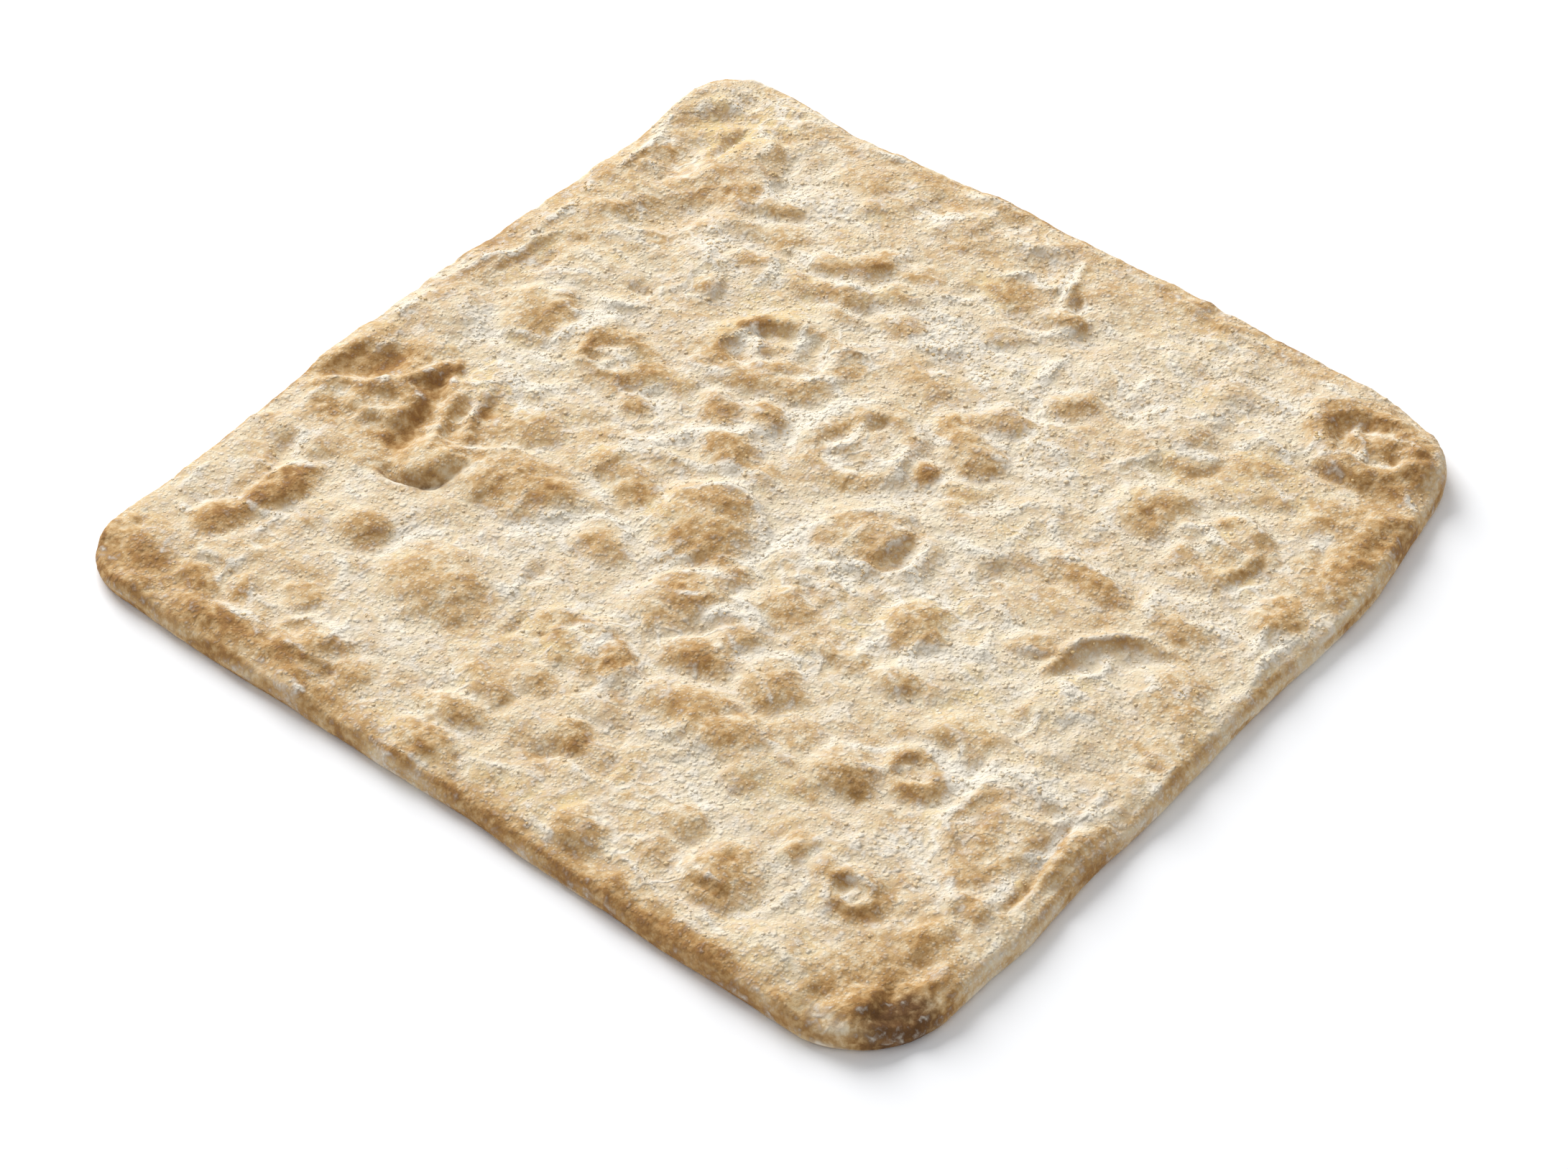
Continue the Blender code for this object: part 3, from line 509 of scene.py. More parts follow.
# The named folds and creases: line, widths on its left and right, rise and toast.
FOLDS = tuple(Fold(*sizes) for sizes in (
    # The torn tip at the far left, its plateau and the blister beside it.
    (((-134, 124), (-128, 124.5), (-120, 127)), 2.2, 3, 0.7),
    (((-136, 123), (-135.5, 117), (-134.5, 111)), 3.4, 1.6, 0.6),
    (((-131, 86), (-127, 87), (-122, 85.5)), 2, 2, 1.0, 0.1),
    (((-116.5, 118), (-117, 108), (-115.5, 98)), 1.8, 1.8, -1.7, 0.3),
    (((-104, 119), (-98, 115), (-92, 109)), 1.9, 1.9, -0.7, 0.3),
    (((-109, 123), (-104, 121.5), (-100, 121)), 1.4, 1.4, -0.5, 0.5),
    (((-103, 133), (-102, 128)), 1.4, 1.4, -0.5, 0.4), (((-100, 93), (-99, 85)), 1.4, 1.4, -0.5, 0.4),
    (((-135, 97), (-134.5, 84), (-133, 72)), 1.9, 2.2, 0.6),
    # Far edge.
    (((-22, 122), (-13, 127), (-3, 132)), 2.7, 3.5, 0.9),
    (((-1, 131), (3, 122), (6, 114), (9, 107)), 1.4, 1.4, -1.2, 0.5),
    (((1, 131), (5.5, 121), (8.5, 113), (11, 107)), 1.8, 4, 1.3),
    (((-12, 113), (-5, 116), (4, 113)), 2.2, 2.7, 0.8, 0.1),
    (((-2, 98), (7, 98), (13, 101)), 1.4, 1.4, -0.8, 0.6), (((12, 117), (15, 110)), 1.4, 1.4, -0.8, 0.5),
    (((-46, 126), (-43, 120)), 1.4, 1.4, -0.5, 0.5), (((-50, 77), (-43, 80), (-36, 82)), 2.2, 2.2, 0.6),
    # Ring at the far right.
    (((91, 125), (93, 117), (98, 109), (105, 103), (113, 100.5), (121, 101)), 4.2, 1.8, 1.2, 0.3),
    (((103, 123), (107, 117), (112, 112)), 1.4, 1.4, 0.8, 0.2),
    (((111, 119), (120, 121.5), (128, 118)), 1.6, 1.4, 0.7, 0.2),
    (((120, 113), (126, 116), (129, 120)), 1.4, 1.4, -1.0, 0.5),
    (((104, 100.5), (112, 99), (120, 99)), 1.6, 1.6, -1.0, 0.4),
    (((123, 78), (126, 71), (130, 62)), 1.4, 1.4, -0.7, 0.4),
    (((78, 54.5), (85, 52.5)), 1.4, 1.4, -1.0, 0.8),
    (((111, 66), (115, 60), (116, 52)), 1.6, 1.6, -0.8, 0.4),
    (((116, 52), (114, 45)), 1.6, 1.6, -0.7, 0.4),
    # Left middle.
    (((-124, 40), (-124, 34), (-122, 27)), 1.4, 1.4, -0.8, 0.6),
    (((-131, 25), (-130, 21)), 1.4, 1.4, -0.7, 0.5),
    (((-116, 21), (-110, 24), (-105, 28)), 1.9, 1.9, 0.6),
    (((-96, 40), (-92, 41), (-88, 43)), 1.4, 1.4, -1.0, 0.7),
    (((-88, 30), (-93.5, 19), (-95, 10), (-92.5, 4)), 3.2, 2.7, 0.9),
    (((-81, 14.5), (-75, 14), (-68, 9.5)), 1.4, 1.6, 0.9),
    (((-75, 6), (-66, 6.2), (-58, 7.5)), 1.4, 1.4, -0.7, 0.6),
    (((-80, 22), (-74, 25)), 1.4, 1.4, -0.6, 0.5),
    (((-104, -9), (-92, -11), (-82, -12), (-74, -14)), 3, 2.4, 0.8),
    (((-126, -38), (-116, -29), (-113, -19), (-111, -14)), 2.2, 2.4, 1.6),
    (((-111, -15), (-107, -21), (-103, -28)), 1.4, 3, 1.1, 0.1),
    (((-139, -47), (-124, -38), (-111, -33), (-108, -40), (-111, -48)), 2.4, 2.4, 1.2),
    (((-101, -24), (-99, -33), (-95, -42), (-91, -50)), 1.8, 2, 1.4),
    (((-96, -20), (-92, -31), (-85, -38)), 1.8, 2, 1.2), (((-97, -24), (-95, -33)), 1.4, 1.4, -0.8, 0.4),
    (((-86, -51), (-84.5, -43), (-79, -38), (-70, -31)), 1.9, 2.2, 1.0),
    (((-99, -59), (-91, -60.5), (-84, -58), (-80, -52.5), (-78, -45)), 1.9, 1.6, -2.0, 0.4),
    (((-101, -62), (-90, -63.5), (-82, -60)), 1.4, 2.2, 0.6, 0.3),
    (((-85, -55), (-82.5, -53.5)), 1.4, 1.4, -1.0, 0.9),
    (((-128, 50), (-132, 38), (-132, 30), (-138, 22), (-140, 8)), 1.6, 1.6, 0.7),
    (((-121, 41), (-112, 44), (-104, 42)), 2.2, 2.2, 0.6),
    # Rings in the middle.
    (((-48, -12), (-30, -5), (-19, 0), (-3, 1), (4, -6)), 1.8, 2.4, 0.7),
    (((-7, -44), (-2, -40), (4, -36.5), (11, -35)), 1.5, 2, 0.9),
    (((-1, -49), (4, -46), (9, -41)), 1.4, 1.6, 0.7),
    (((-40, -42), (-36, -37.5), (-28, -36.5), (-23, -42)), 1.6, 2.2, 0.6),
    (((0, -30.5), (4, -27), (10, -26.5), (17, -28)), 1.4, 1.8, 0.7),
    (((11, -51), (16, -45), (22, -43), (29, -45)), 1.6, 2.2, 0.7),
    (((15, 3), (22, 10), (36, 15)), 1.8, 2.2, 0.6),
    (((-57, 52), (-50, 45), (-43, 38), (-37, 34)), 1.9, 1.9, 0.6, 0.2),
    (((-57, 41), (-50, 44), (-44, 42)), 1.9, 2.2, 1.0),
    (((-33, 59), (-31.5, 53), (-34, 50)), 1.8, 1.8, 0.7), (((5, 43.5), (12, 41)), 1.4, 1.4, -0.7, 0.6),
    (((3, 40), (0, 34)), 1.4, 1.4, -0.8, 0.5), (((-10, 22.5), (-0.5, 25), (-1.5, 32)), 1.4, 1.5, 0.7),
    (((14, 30), (17, 25), (17, 20)), 1.4, 1.5, 0.6),
    (((-1, 50), (-13, 40), (-15, 30), (-13, 19)), 3.5, 3, 0.7),
    (((-18, 21), (-30, 11), (-38, 3), (-50, -11)), 3.2, 3.2, 0.7),
    (((39.5, 12), (43, 5), (43.5, -4), (41.5, -8)), 3.5, 1.5, 1.1),
    (((36, 9), (35, 1), (30, -5)), 1.6, 1.6, 0.6, 0.2),
    (((20, -9), (30, -10.5), (42, -9)), 1.9, 1.9, 0.7),
    (((10, -1), (11.5, -7), (16, -10)), 1.6, 1.6, -0.6, 0.5),
    (((-26, -21), (-19, -11), (-12, -7), (-3, -10), (6, -16)), 1.5, 2, 0.8),
    (((-7, -46.5), (0, -47.5), (6, -44)), 1.4, 1.4, -1.0, 0.8),
    (((27, -18), (28, -23), (31, -26)), 1.4, 1.4, -0.6, 0.6),
    (((20, -14), (32, -15.5), (44, -17)), 1.9, 1.9, 0.6),
    # Right middle.
    (((68.5, 24), (79.5, 29), (90.5, 27), (98.5, 22)), 2.4, 2.2, 0.8),
    (((109.5, 26.5), (119.5, 30), (130.5, 32)), 2.2, 2.2, 0.7),
    (((95, -12), (95, -1), (98.5, 7.5), (104, 13), (112, 16), (122, 17.5)), 2.4, 1.8, 1.6, 0.2),
    (((80, -7), (88, -5), (93, 0)), 1.6, 2.2, 0.7, 0.5),
    (((135, -19), (138, -19), (141, -20.5)), 1.4, 1.4, -0.8, 0.7),
    (((97, -9), (104, -12), (110, -19)), 1.9, 1.9, 0.6), (((103, -20), (105, -30)), 1.6, 1.6, 0.5),
    (((105, -50), (109, -44), (120, -44), (130, -41)), 2.2, 2.2, 0.8, 0.1),
    (((131.5, -44), (132.3, -54), (134, -63), (135.7, -70.7), (137.3, -80.7)), 1.5, 1.4, -1.5, 0.9),
    (((130, -40), (131, -50), (133.5, -60), (135, -70)), 1.6, 1.6, 0.6),
    (((141, -30), (140.5, -50), (141.5, -75)), 1.4, 1.4, -0.6, 0.2),
    (((107, -50), (106, -62), (110, -72)), 1.9, 1.4, 0.6, 0.3),
    (((139.5, 52), (140, 41), (137.5, 30), (139.5, 5)), 1.6, 1.6, 0.7),
    (((99, 34), (103, 26), (106, 18)), 1.8, 1.8, 0.6),
    (((94, 67), (98.5, 71), (104, 70), (114, 65)), 1.6, 2.2, 0.8),
    # Near left.
    (((-127, -60), (-123.5, -66), (-121, -73)), 1.4, 2.2, 0.8),
    (((-127, -79.5), (-121, -79.5)), 1.4, 1.4, 0.7),
    (((-110, -72), (-117, -74), (-120, -84)), 1.9, 2.2, 0.6),
    (((-133, -105), (-125, -105.5)), 1.4, 1.4, 0.7),
    (((-135.5, -114), (-135, -120)), 1.4, 1.4, -0.6, 0.5),
    (((-76, -120), (-69, -115.5), (-60, -115.5), (-52, -119)), 2, 2, 0.8),
    (((-74, -125), (-63, -125.5), (-51, -125)), 1.4, 1.6, 0.8),
    (((-53, -124), (-50, -126)), 1.4, 1.4, -0.7, 0.8),
    (((-97, -127), (-85, -125), (-76, -127)), 2.2, 2.2, 0.6),
    # Near middle.
    (((-24, -75), (-18, -70), (-8, -69.5), (2, -69)), 1.6, 1.6, 0.5, 0.5),
    (((-13, -76), (-10, -73), (-2, -71)), 1.6, 1.6, 0.6, 0.1),
    (((-19, -82), (-17, -80)), 1.4, 1.4, -0.6, 0.8), (((-27, -78), (-25, -86)), 1.4, 1.4, -0.5, 0.4),
    (((-5, -128), (-7, -126)), 1.4, 1.4, -0.6, 0.7),
    (((9, -103), (17, -100), (19, -106)), 1.4, 1.4, -0.5, 0.5),
    # Near right.
    (((82, -55), (87, -50.5), (95, -50), (100, -56)), 2.4, 2.2, 0.5, 0.1),
    (((98, -97), (102, -95), (108, -95)), 1.4, 1.4, 0.6, 0.1),
    (((103, -96), (102, -104)), 1.4, 1.4, 0.6, 0.1), (((70, -118), (79, -118.3)), 1.4, 1.4, 1.0, 0.1),
    (((70, -120), (80, -120.5)), 1.4, 1.4, -0.6, 0.5), (((71, -109), (75.5, -109)), 1.4, 1.4, -0.8, 0.8),
    (((58, -92), (61, -90)), 1.4, 1.4, -0.6, 0.5),
    (((134, -100), (137, -106), (136, -112)), 1.9, 1.4, 0.7, 0.2),
    (((129, -103.2), (132, -105)), 1.4, 1.4, -0.6, 0.4),
    (((129, -112), (132, -120), (131, -127)), 1.4, 1.4, -1.0, 0.9),
    (((131, -127), (136, -123), (140, -118)), 1.4, 1.4, -0.8, 0.9),
    (((130, -133), (135, -131), (140, -126)), 1.4, 1.4, -0.7, 0.6),
))

# Patches that stand out: place, half axes, turn, tint and strength.
PATCHES = tuple(Patch(*sizes) for sizes in (
    # Dark near right corner and the brown near edge.
    (136, -121, 5, 8, -30, Tint.CHAR, 0.9), (126, -132, 12, 4, 15, Tint.CHAR, 0.35),
    (131, -119, 13, 17, 0, Tint.TOAST, 0.45), (-90, -131, 55, 8, 0, Tint.TOAST, 0.5),
    (-90, -139.5, 50, 3.0, 0, Tint.CHAR, 0.8), (20, -136, 60, 5, 0, Tint.TOAST, 0.5),
    (85, -137, 30, 5, 0, Tint.TOAST, 0.6), (40, -139.5, 90, 2.4, 0, Tint.CHAR, 0.5),
    (-132, -126, 14, 13, 0, Tint.TOAST, 0.25), (-139, -131, 5, 10, -20, Tint.CHAR, 0.25),
    # Dark folds by the left edge, with a painted shadow line under the lip of one fold.
    (-110, -38, 27, 18, -15, Tint.TOAST, 0.4), (-84, -52, 7, 6, 0, Tint.TOAST, -0.35),
    (-134, -29, 9, 8, 0, Tint.TOAST, -0.35), (-108, -38, 27, 18, -15, Tint.FLOUR, -1.0),
    (-134.5, -33, 12, 3.6, 62, Tint.TOAST, 0.35), (-135.5, -35, 9, 2.6, 62, Tint.CHAR, 0.15),
    (-127, -27, 7, 2.6, 80, Tint.TOAST, 0.5), (-127, -26, 5, 1.8, 80, Tint.CHAR, 0.25),
    (-110, -24, 8, 3.6, -78, Tint.TOAST, 0.6), (-108.5, -25, 7, 2.4, -75, Tint.CHAR, 0.3),
    (-103, -42, 11, 3.4, -72, Tint.TOAST, 0.6), (-102.5, -45, 7, 2.4, -72, Tint.CHAR, 0.3),
    (-106, -51, 6, 2.2, 10, Tint.TOAST, 0.5), (-90, -25, 4, 3.5, 0, Tint.TOAST, 0.5),
    (-90, -25, 2.6, 2.2, 0, Tint.CHAR, 0.15), (-92, -37, 4.5, 2.2, -20, Tint.TOAST, 0.5),
    (-88, -45, 3, 4.5, 0, Tint.TOAST, 0.15), (-80, -48, 8, 2.6, 78, Tint.TOAST, 0.15),
    # The thin char marks from (-79.5, -50) to (-84, -54.5) trace the shadow under the lip: painted
    # shadow.
    (-79.5, -50, 5, 1.6, 78, Tint.CHAR, 0.2), (-92, -61.5, 8, 1.6, -2, Tint.CHAR, 0.7),
    (-83, -58, 5, 1.7, 45, Tint.CHAR, 0.7), (-84, -54.5, 2.4, 1.0, 15, Tint.CHAR, 0.3),
    (-120, -42, 10, 3.0, 22, Tint.TOAST, -0.15), (-109, -45, 2.5, 4, 0, Tint.TOAST, -0.1),
    (-96, -33, 7, 2, -66, Tint.TOAST, -0.3), (-94, -46, 6, 1.6, -60, Tint.TOAST, -0.3),
    (-126, -53, 6, 4, 0, Tint.TOAST, 0.4), (-117, -88, 6, 18, -8, Tint.TOAST, 0.5),
    (-139, -133, 8, 8, 0, Tint.CHAR, 0.2),
    # Right and far edges, and the ring in the far right corner.
    (134.4, -62, 19, 1.0, -81, Tint.TOAST, 0.5), (134.4, -62, 19, 1.0, -81, Tint.FLOUR, -0.4),
    (134, 84, 12, 34, 0, Tint.TOAST, 0.35), (134, 90, 12, 36, 0, Tint.FLOUR, -0.45),
    (112, 116, 17, 13, -8, Tint.TOAST, 0.3), (112, 116, 15, 11, -8, Tint.FLOUR, -0.5),
    (60, 134, 70, 5, 0, Tint.TOAST, 0.2), (-60, 134, 50, 5, 0, Tint.TOAST, 0.1),
    (-138, 50, 5, 60, 0, Tint.TOAST, 0.3),
    # Torn tip: raw yellow crumb, honey brown in its groove.
    (-122, 120, 18, 16, 10, Tint.HONEY, 0.8), (-118, 108, 5, 11, 5, Tint.HONEY, 1.0),
    (-124, 112, 6, 4, 0, Tint.HONEY, 1.0),
    # Yellow skin between the floured places.
    (-32, 84, 9, 5, 20, Tint.HONEY, 0.4), (13, 78, 10, 5, 15, Tint.HONEY, 0.4),
    (42, 61, 12, 8, 10, Tint.HONEY, 0.5), (5, 52, 8, 5, 0, Tint.HONEY, 0.4),
    (76, 76, 8, 5, 0, Tint.HONEY, 0.45), (70, 104, 20, 5, 0, Tint.HONEY, 0.35),
    (102, 90, 9, 5, 0, Tint.HONEY, 0.35), (-59, 16, 9, 5, 0, Tint.HONEY, 0.45),
    (-84, -25, 6, 5, 0, Tint.HONEY, 0.4), (35, 31, 6, 5, 0, Tint.HONEY, 0.35),
    (104, -7, 6, 7, 0, Tint.HONEY, 0.4), (103, -22, 6, 7, 0, Tint.HONEY, 0.4),
    (78, 58, 8, 5, 0, Tint.HONEY, 0.6), (134, -72, 2.5, 3, 0, Tint.HONEY, 0.9),
    (-13, -25, 15, 13, -30, Tint.HONEY, 0.35),
    # Painted shade: a greyer olive tone in hollows and at the feet and shaded sides of bubbles.
    (70, 71, 6, 4, 0, Tint.HOLLOW_SHADE, 0.3), (114, 57, 4, 8, 0, Tint.HOLLOW_SHADE, 0.3),
    (-72, 18, 8, 4, 0, Tint.HOLLOW_SHADE, 0.3), (3, -81, 9, 4, 0, Tint.HOLLOW_SHADE, 0.35),
    (33, -84, 9, 4, 0, Tint.HOLLOW_SHADE, 0.35), (45, -62, 6, 5, 0, Tint.HOLLOW_SHADE, 0.4),
    (82, -71, 7, 4, 0, Tint.HOLLOW_SHADE, 0.4), (112, -95, 6, 6, 0, Tint.HOLLOW_SHADE, 0.4),
    (45, -42, 6, 6, 0, Tint.HOLLOW_SHADE, 0.4), (0, -22, 5, 9, 0, Tint.HOLLOW_SHADE, 0.4),
))

# Where flour lies thickest: place, half axes, turn and strength.
FLOURED = tuple(Patch(*spot, Tint.FLOUR, strength) for *spot, strength in (
    (-94, 8, 4, 20, 5, 0.5), (-115, 1, 16, 5, -15, 0.5), (-62, 6, 11, 3, 10, 0.3),
    (-19, 21, 4, 18, -8, 0.5), (-45, -5, 18, 5, 52, 0.5), (9, -12, 4, 14, -12, 0.5),
    (45, 56, 24, 10, -20, 0.4), (88, 34, 50, 4, 1, 0.4), (75, -21, 26, 7, 15, 0.45),
    (25, -50, 14, 5, -15, 0.35), (-45, -48, 9, 9, 50, 0.5), (-77, -72, 12, 5, -40, 0.4),
    (-48, -104, 26, 7, -8, 0.4), (50, -94, 14, 7, -20, 0.45), (-83, 106, 20, 8, -15, 0.4),
    (-84, 68, 17, 9, -20, 0.4), (0, 78, 40, 9, -8, 0.45), (60, 117, 24, 8, -15, 0.35),
    (-118, 31, 12, 5, -20, 0.3), (118, -45, 14, 5, 5, 0.4), (100, -82, 12, 6, 10, 0.35),
    (64, 88, 18, 8, -10, 0.35), (-140, 20, 4, 60, 0, 0.3), (-108, 97, 9, 14, -15, 0.4),
))

# Where the oven has browned the skin between its flour: place, half axes, turn and strength.
BROWNED = tuple(Patch(*spot, Tint.TOAST, strength) for *spot, strength in (
    # Far left.
    (-127, 127, 4, 3, 0, 0.5), (-125, 130, 6, 2, 5, 0.5), (-132, 115, 2, 3, 0, 0.7),
    (-123, 120, 6, 4, 0, 0.3), (-128, 117, 4, 3, 0, 0.3), (-127, 108, 5, 2.5, 0, 0.4),
    (-123, 104, 4, 3.5, 0, 0.6), (-124, 92, 7, 5, 0, 0.8), (-124, 83, 5, 1.5, 0, 0.7),
    (-121, 89, 3, 3, 0, 0.5), (-109, 69, 13, 7, 45, 0.75), (-105, 75, 4, 4, 0, 0.4),
    (-110, 63, 4, 4, 0, 0.4), (-88, 104, 5, 4, 0, 0.6), (-84, 94, 6, 3, 10, 0.6), (-87, 85, 5, 4, 0, 0.6),
    (-88, 117, 4, 4, 0, 0.6), (-60, 75, 4, 3, 0, 0.4), (-61, 65, 4, 3, 0, 0.4),
    # Far middle.
    (-7, 119, 3, 5, 0, 0.7), (1, 121, 3, 8, 25, 0.9), (14, 113.5, 6, 2, 25, 0.6), (-2, 107, 8, 5, 0, 0.6),
    (7, 99.5, 6.5, 2.5, 0, 0.7), (22, 103, 8, 7, 0, 0.5), (24, 97, 6, 3, 20, 0.6),
    (-15, 98, 3, 2, 0, 0.6), (-41, 89, 5, 4, 0, 0.7), (-30, 94, 4, 2.5, 0, 0.5), (-21, 76, 5, 4, 0, 0.5),
    (-41, 69, 7, 3, 0, 0.5), (-50, 121, 4, 5, 0, 0.5), (7, 86, 3, 3, 0, 0.5), (29, 69, 4, 2, 0, 0.6),
    (-52, 58, 3, 3, 0, 0.4), (-34, 58, 3, 3, 0, 0.4),
    # Far right.
    (111, 100.5, 10, 2.5, -8, 0.6), (115, 94.5, 3, 4, 0, 0.6), (126, 107, 9, 7, 45, 0.15),
    (102, 118, 6, 6, 0, 0.3), (106, 128, 4, 2.5, 0, 0.5), (121, 118.5, 5, 1.5, 0, 0.5),
    (132, 98, 6, 9, 20, 0.3), (135.5, 80, 4, 12, 0, 0.6), (98, 66, 4, 2.5, 0, 0.6),
    (113, 62, 2, 4, 0, 0.5), (70.5, 71, 3, 3, 0, 0.6), (84, 58, 4, 3, 0, 0.5), (75, 60, 3, 3, 0, 0.4),
    (83, 129, 4, 2, 0, 0.5),
    # Left.
    (-126.5, 33, 4.5, 8, 8, 0.6), (-101, 22, 8, 5, -30, 0.5), (-117, 13, 5, 4, 0, 0.5),
    (-102, 11, 6, 5, 0, 0.7), (-85, 12, 4, 5, 0, 0.7), (-68, 19, 6, 5, 0, 0.7), (-63, 2, 7, 4, 0, 0.6),
    (-110.5, -24, 4.5, 8, 5, 0.9), (-130.5, -29, 5, 9, -30, 0.9), (-90, -25, 4, 4, 0, 0.7),
    (-82, -14.5, 6, 2, -5, 0.4),
    # Middle.
    (-52, 49, 6, 4, 0, 0.7), (-47, 36, 5, 3, 0, 0.6), (-28, 44, 5, 8, 0, 0.7), (-22, 48, 3, 3, 0, 0.4),
    (1.5, 38, 2.5, 5, 0, 0.6), (-6, 36, 3, 3, 0, 0.5), (-7, 28, 5, 5, 0, 0.6), (-9.5, 17, 2.5, 5, 0, 0.5),
    (11, 16, 5, 6, 0, 0.7), (23, 31, 3, 4, 0, 1.0), (25, 45, 7, 6, 0, 0.6), (33, 27, 4, 3, 0, 0.5),
    (-38, 15.5, 6, 5, 0, 0.5), (-28, 20.5, 6, 5, 0, 0.5), (-22, 5, 11, 5, 0, 0.5),
    (-2, -30, 7, 7, 0, 0.8), (-7, -29, 12, 9, -20, 0.5), (-8, -36, 8, 9, 0, 0.6),
    (-35, -25.5, 5, 5, 0, 0.8), (-15, -13, 3, 3, 0, 0.4), (35, -4, 4, 7, 0, 0.7), (16, -12, 3, 3, 0, 0.5),
    (31, -21, 3, 3, 0, 0.6), (5, -50, 6, 6, 30, 0.8), (-1, -45, 5, 2.5, 25, 0.5),
    (-30, -53, 10, 5, 0, 0.45), (10, -32, 5, 3, 0, 0.4), (22, -50, 8, 5, 0, 0.3),
    (-55, -38, 7, 11, -15, 0.7), (-86, -46, 6, 6, 0, 0.1),
    # Right.
    (96, 43, 3, 4, 0, 0.6), (101, 38, 5, 4, 0, 0.5), (113.5, 49, 2.5, 5, 0, 0.5),
    (134.5, 46, 3, 5, 0, 0.7), (84, 25, 8, 2.5, -10, 0.5), (75.5, 20.5, 6, 2.5, 0, 0.7),
    (97, 17, 3, 2, 0, 0.5), (102, 2, 3.5, 11, -30, 0.8), (90, -3, 6, 2.5, 45, 0.6), (76, 2, 3, 2, 0, 0.4),
    (129, 6.5, 4, 2.5, 0, 0.5), (133, 13, 3, 2, 0, 0.5), (59, -20, 5, 6, -30, 0.8),
    (56, -29, 3, 3, 0, 0.6), (101, -26, 3.5, 5, 0, 0.6), (110.5, -20, 2, 5, 0, 0.5),
    (130, -14, 3, 3, 0, 0.4),
    # Near left.
    (-126, -70, 3.5, 10, 10, 0.8), (-114.5, -81, 4, 11, -12, 0.8), (-105, -75, 4.5, 2.5, -35, 0.6),
    (-118, -103, 2.5, 6, 0, 0.6), (-112, -98, 3, 4, 0, 0.5), (-129, -101, 3, 5, 15, 0.6),
    (-135, -118, 1.5, 3, 0, 0.6), (-83, -80, 5, 7, 0, 0.6), (-60, -82, 9, 7, 0, 0.4),
    (-101, -89, 4, 6, 0, 0.35), (-79, -108, 6, 7, 0, 0.4), (-94, -118, 4, 4, 0, 0.5),
    (-105, -124, 5, 4, 0, 0.5), (-70, -120, 3, 3, 0, 0.6), (-59, -120, 3, 3, 0, 0.5),
    (-88, -132, 10, 4, 0, 0.6), (-66, -128.5, 8, 4, 0, 0.6),
    # Near middle.
    (-36, -64.5, 4, 3.5, 0, 0.9), (2, -78, 6, 3.5, 0, 0.8), (-8, -71.5, 6, 2, 0, 0.5),
    (-27, -82, 1.5, 5, 0, 0.5), (-43, -79, 5, 4, 0, 0.5), (-38, -88, 4, 4, 0, 0.4),
    (20, -62, 8, 6, 10, 0.7), (13, -69, 4, 3, 0, 0.5), (32, -78, 8, 5, 0, 0.5), (-18, -99, 8, 3, 0, 0.5),
    (-7, -93, 4, 3, 0, 0.4), (16.5, -104, 3, 3, 0, 0.6), (-15, -116.5, 5, 3.5, 0, 0.5),
    (-17, -126, 6, 5, 0, 0.8),
    # Near right.
    (79, -68, 8, 5, -35, 0.7), (84, -73, 4, 3, 0, 0.5), (96, -63, 4, 4, 0, 0.6), (71, -80, 5, 2, 0, 0.5),
    (81.5, -95, 4, 3.5, 0, 0.8), (90, -97, 5, 3, 0, 0.3), (100, -97.5, 3, 2.5, 0, 0.6),
    (109, -104, 4, 2.5, 0, 0.7), (113, -98, 4, 4, 0, 0.4), (117, -79, 6, 4, 0, 0.5),
    (120, -68, 4, 4, 0, 0.4), (74, -110, 5, 6, 0, 0.4), (76, -121, 6, 2.5, 0, 0.7),
    (133.5, -110.5, 3, 4.5, 0, 0.9), (116.5, -130, 4, 3, 0, 0.7),
))

# Flour that has caked into flat clumps: place, half axes and turn.
CLUMPS = tuple(Spot(*sizes) for sizes in (
    (-93, 75, 3, 2, 30), (-91, 70, 3, 2, 0), (-88, 66, 3, 2, 60), (-133, 55, 2, 4, 0),
    (-137, 68, 2, 3, 0), (-10, 86, 3, 2, 0), (-15, 84, 2, 3, 0), (-8, 74, 4, 3, 0), (8, 73, 3, 2, 0),
    (12, 70, 2, 2, 0), (-26, 75, 3, 2, 0), (-1, 66, 3, 2, 30), (25, 74, 3, 2, 0), (73, 99, 3, 2, 0),
    (68, 96, 2, 2, 0), (58, 92, 3, 2, 0), (84, 94, 3, 2, 0), (96, 97, 3, 2, 0), (62, 67, 4.5, 2.6, 60),
    (53, 56, 3, 2, 0), (64, 55, 2, 3, 0), (122, 75, 2, 3, 0), (105, 84, 3, 2, 0), (130, 62, 2, 2, 0),
    (135, 62, 2, 2, 0), (73, 43, 3, 6, 0), (104, 44, 3, 2, 0), (135, 40, 2, 3, 0), (75, 28, 3, 2, 0),
    (66, 23, 3, 2, 0), (128, 6, 2, 3, 0), (-28, 40, 4, 2.5, 30),
))


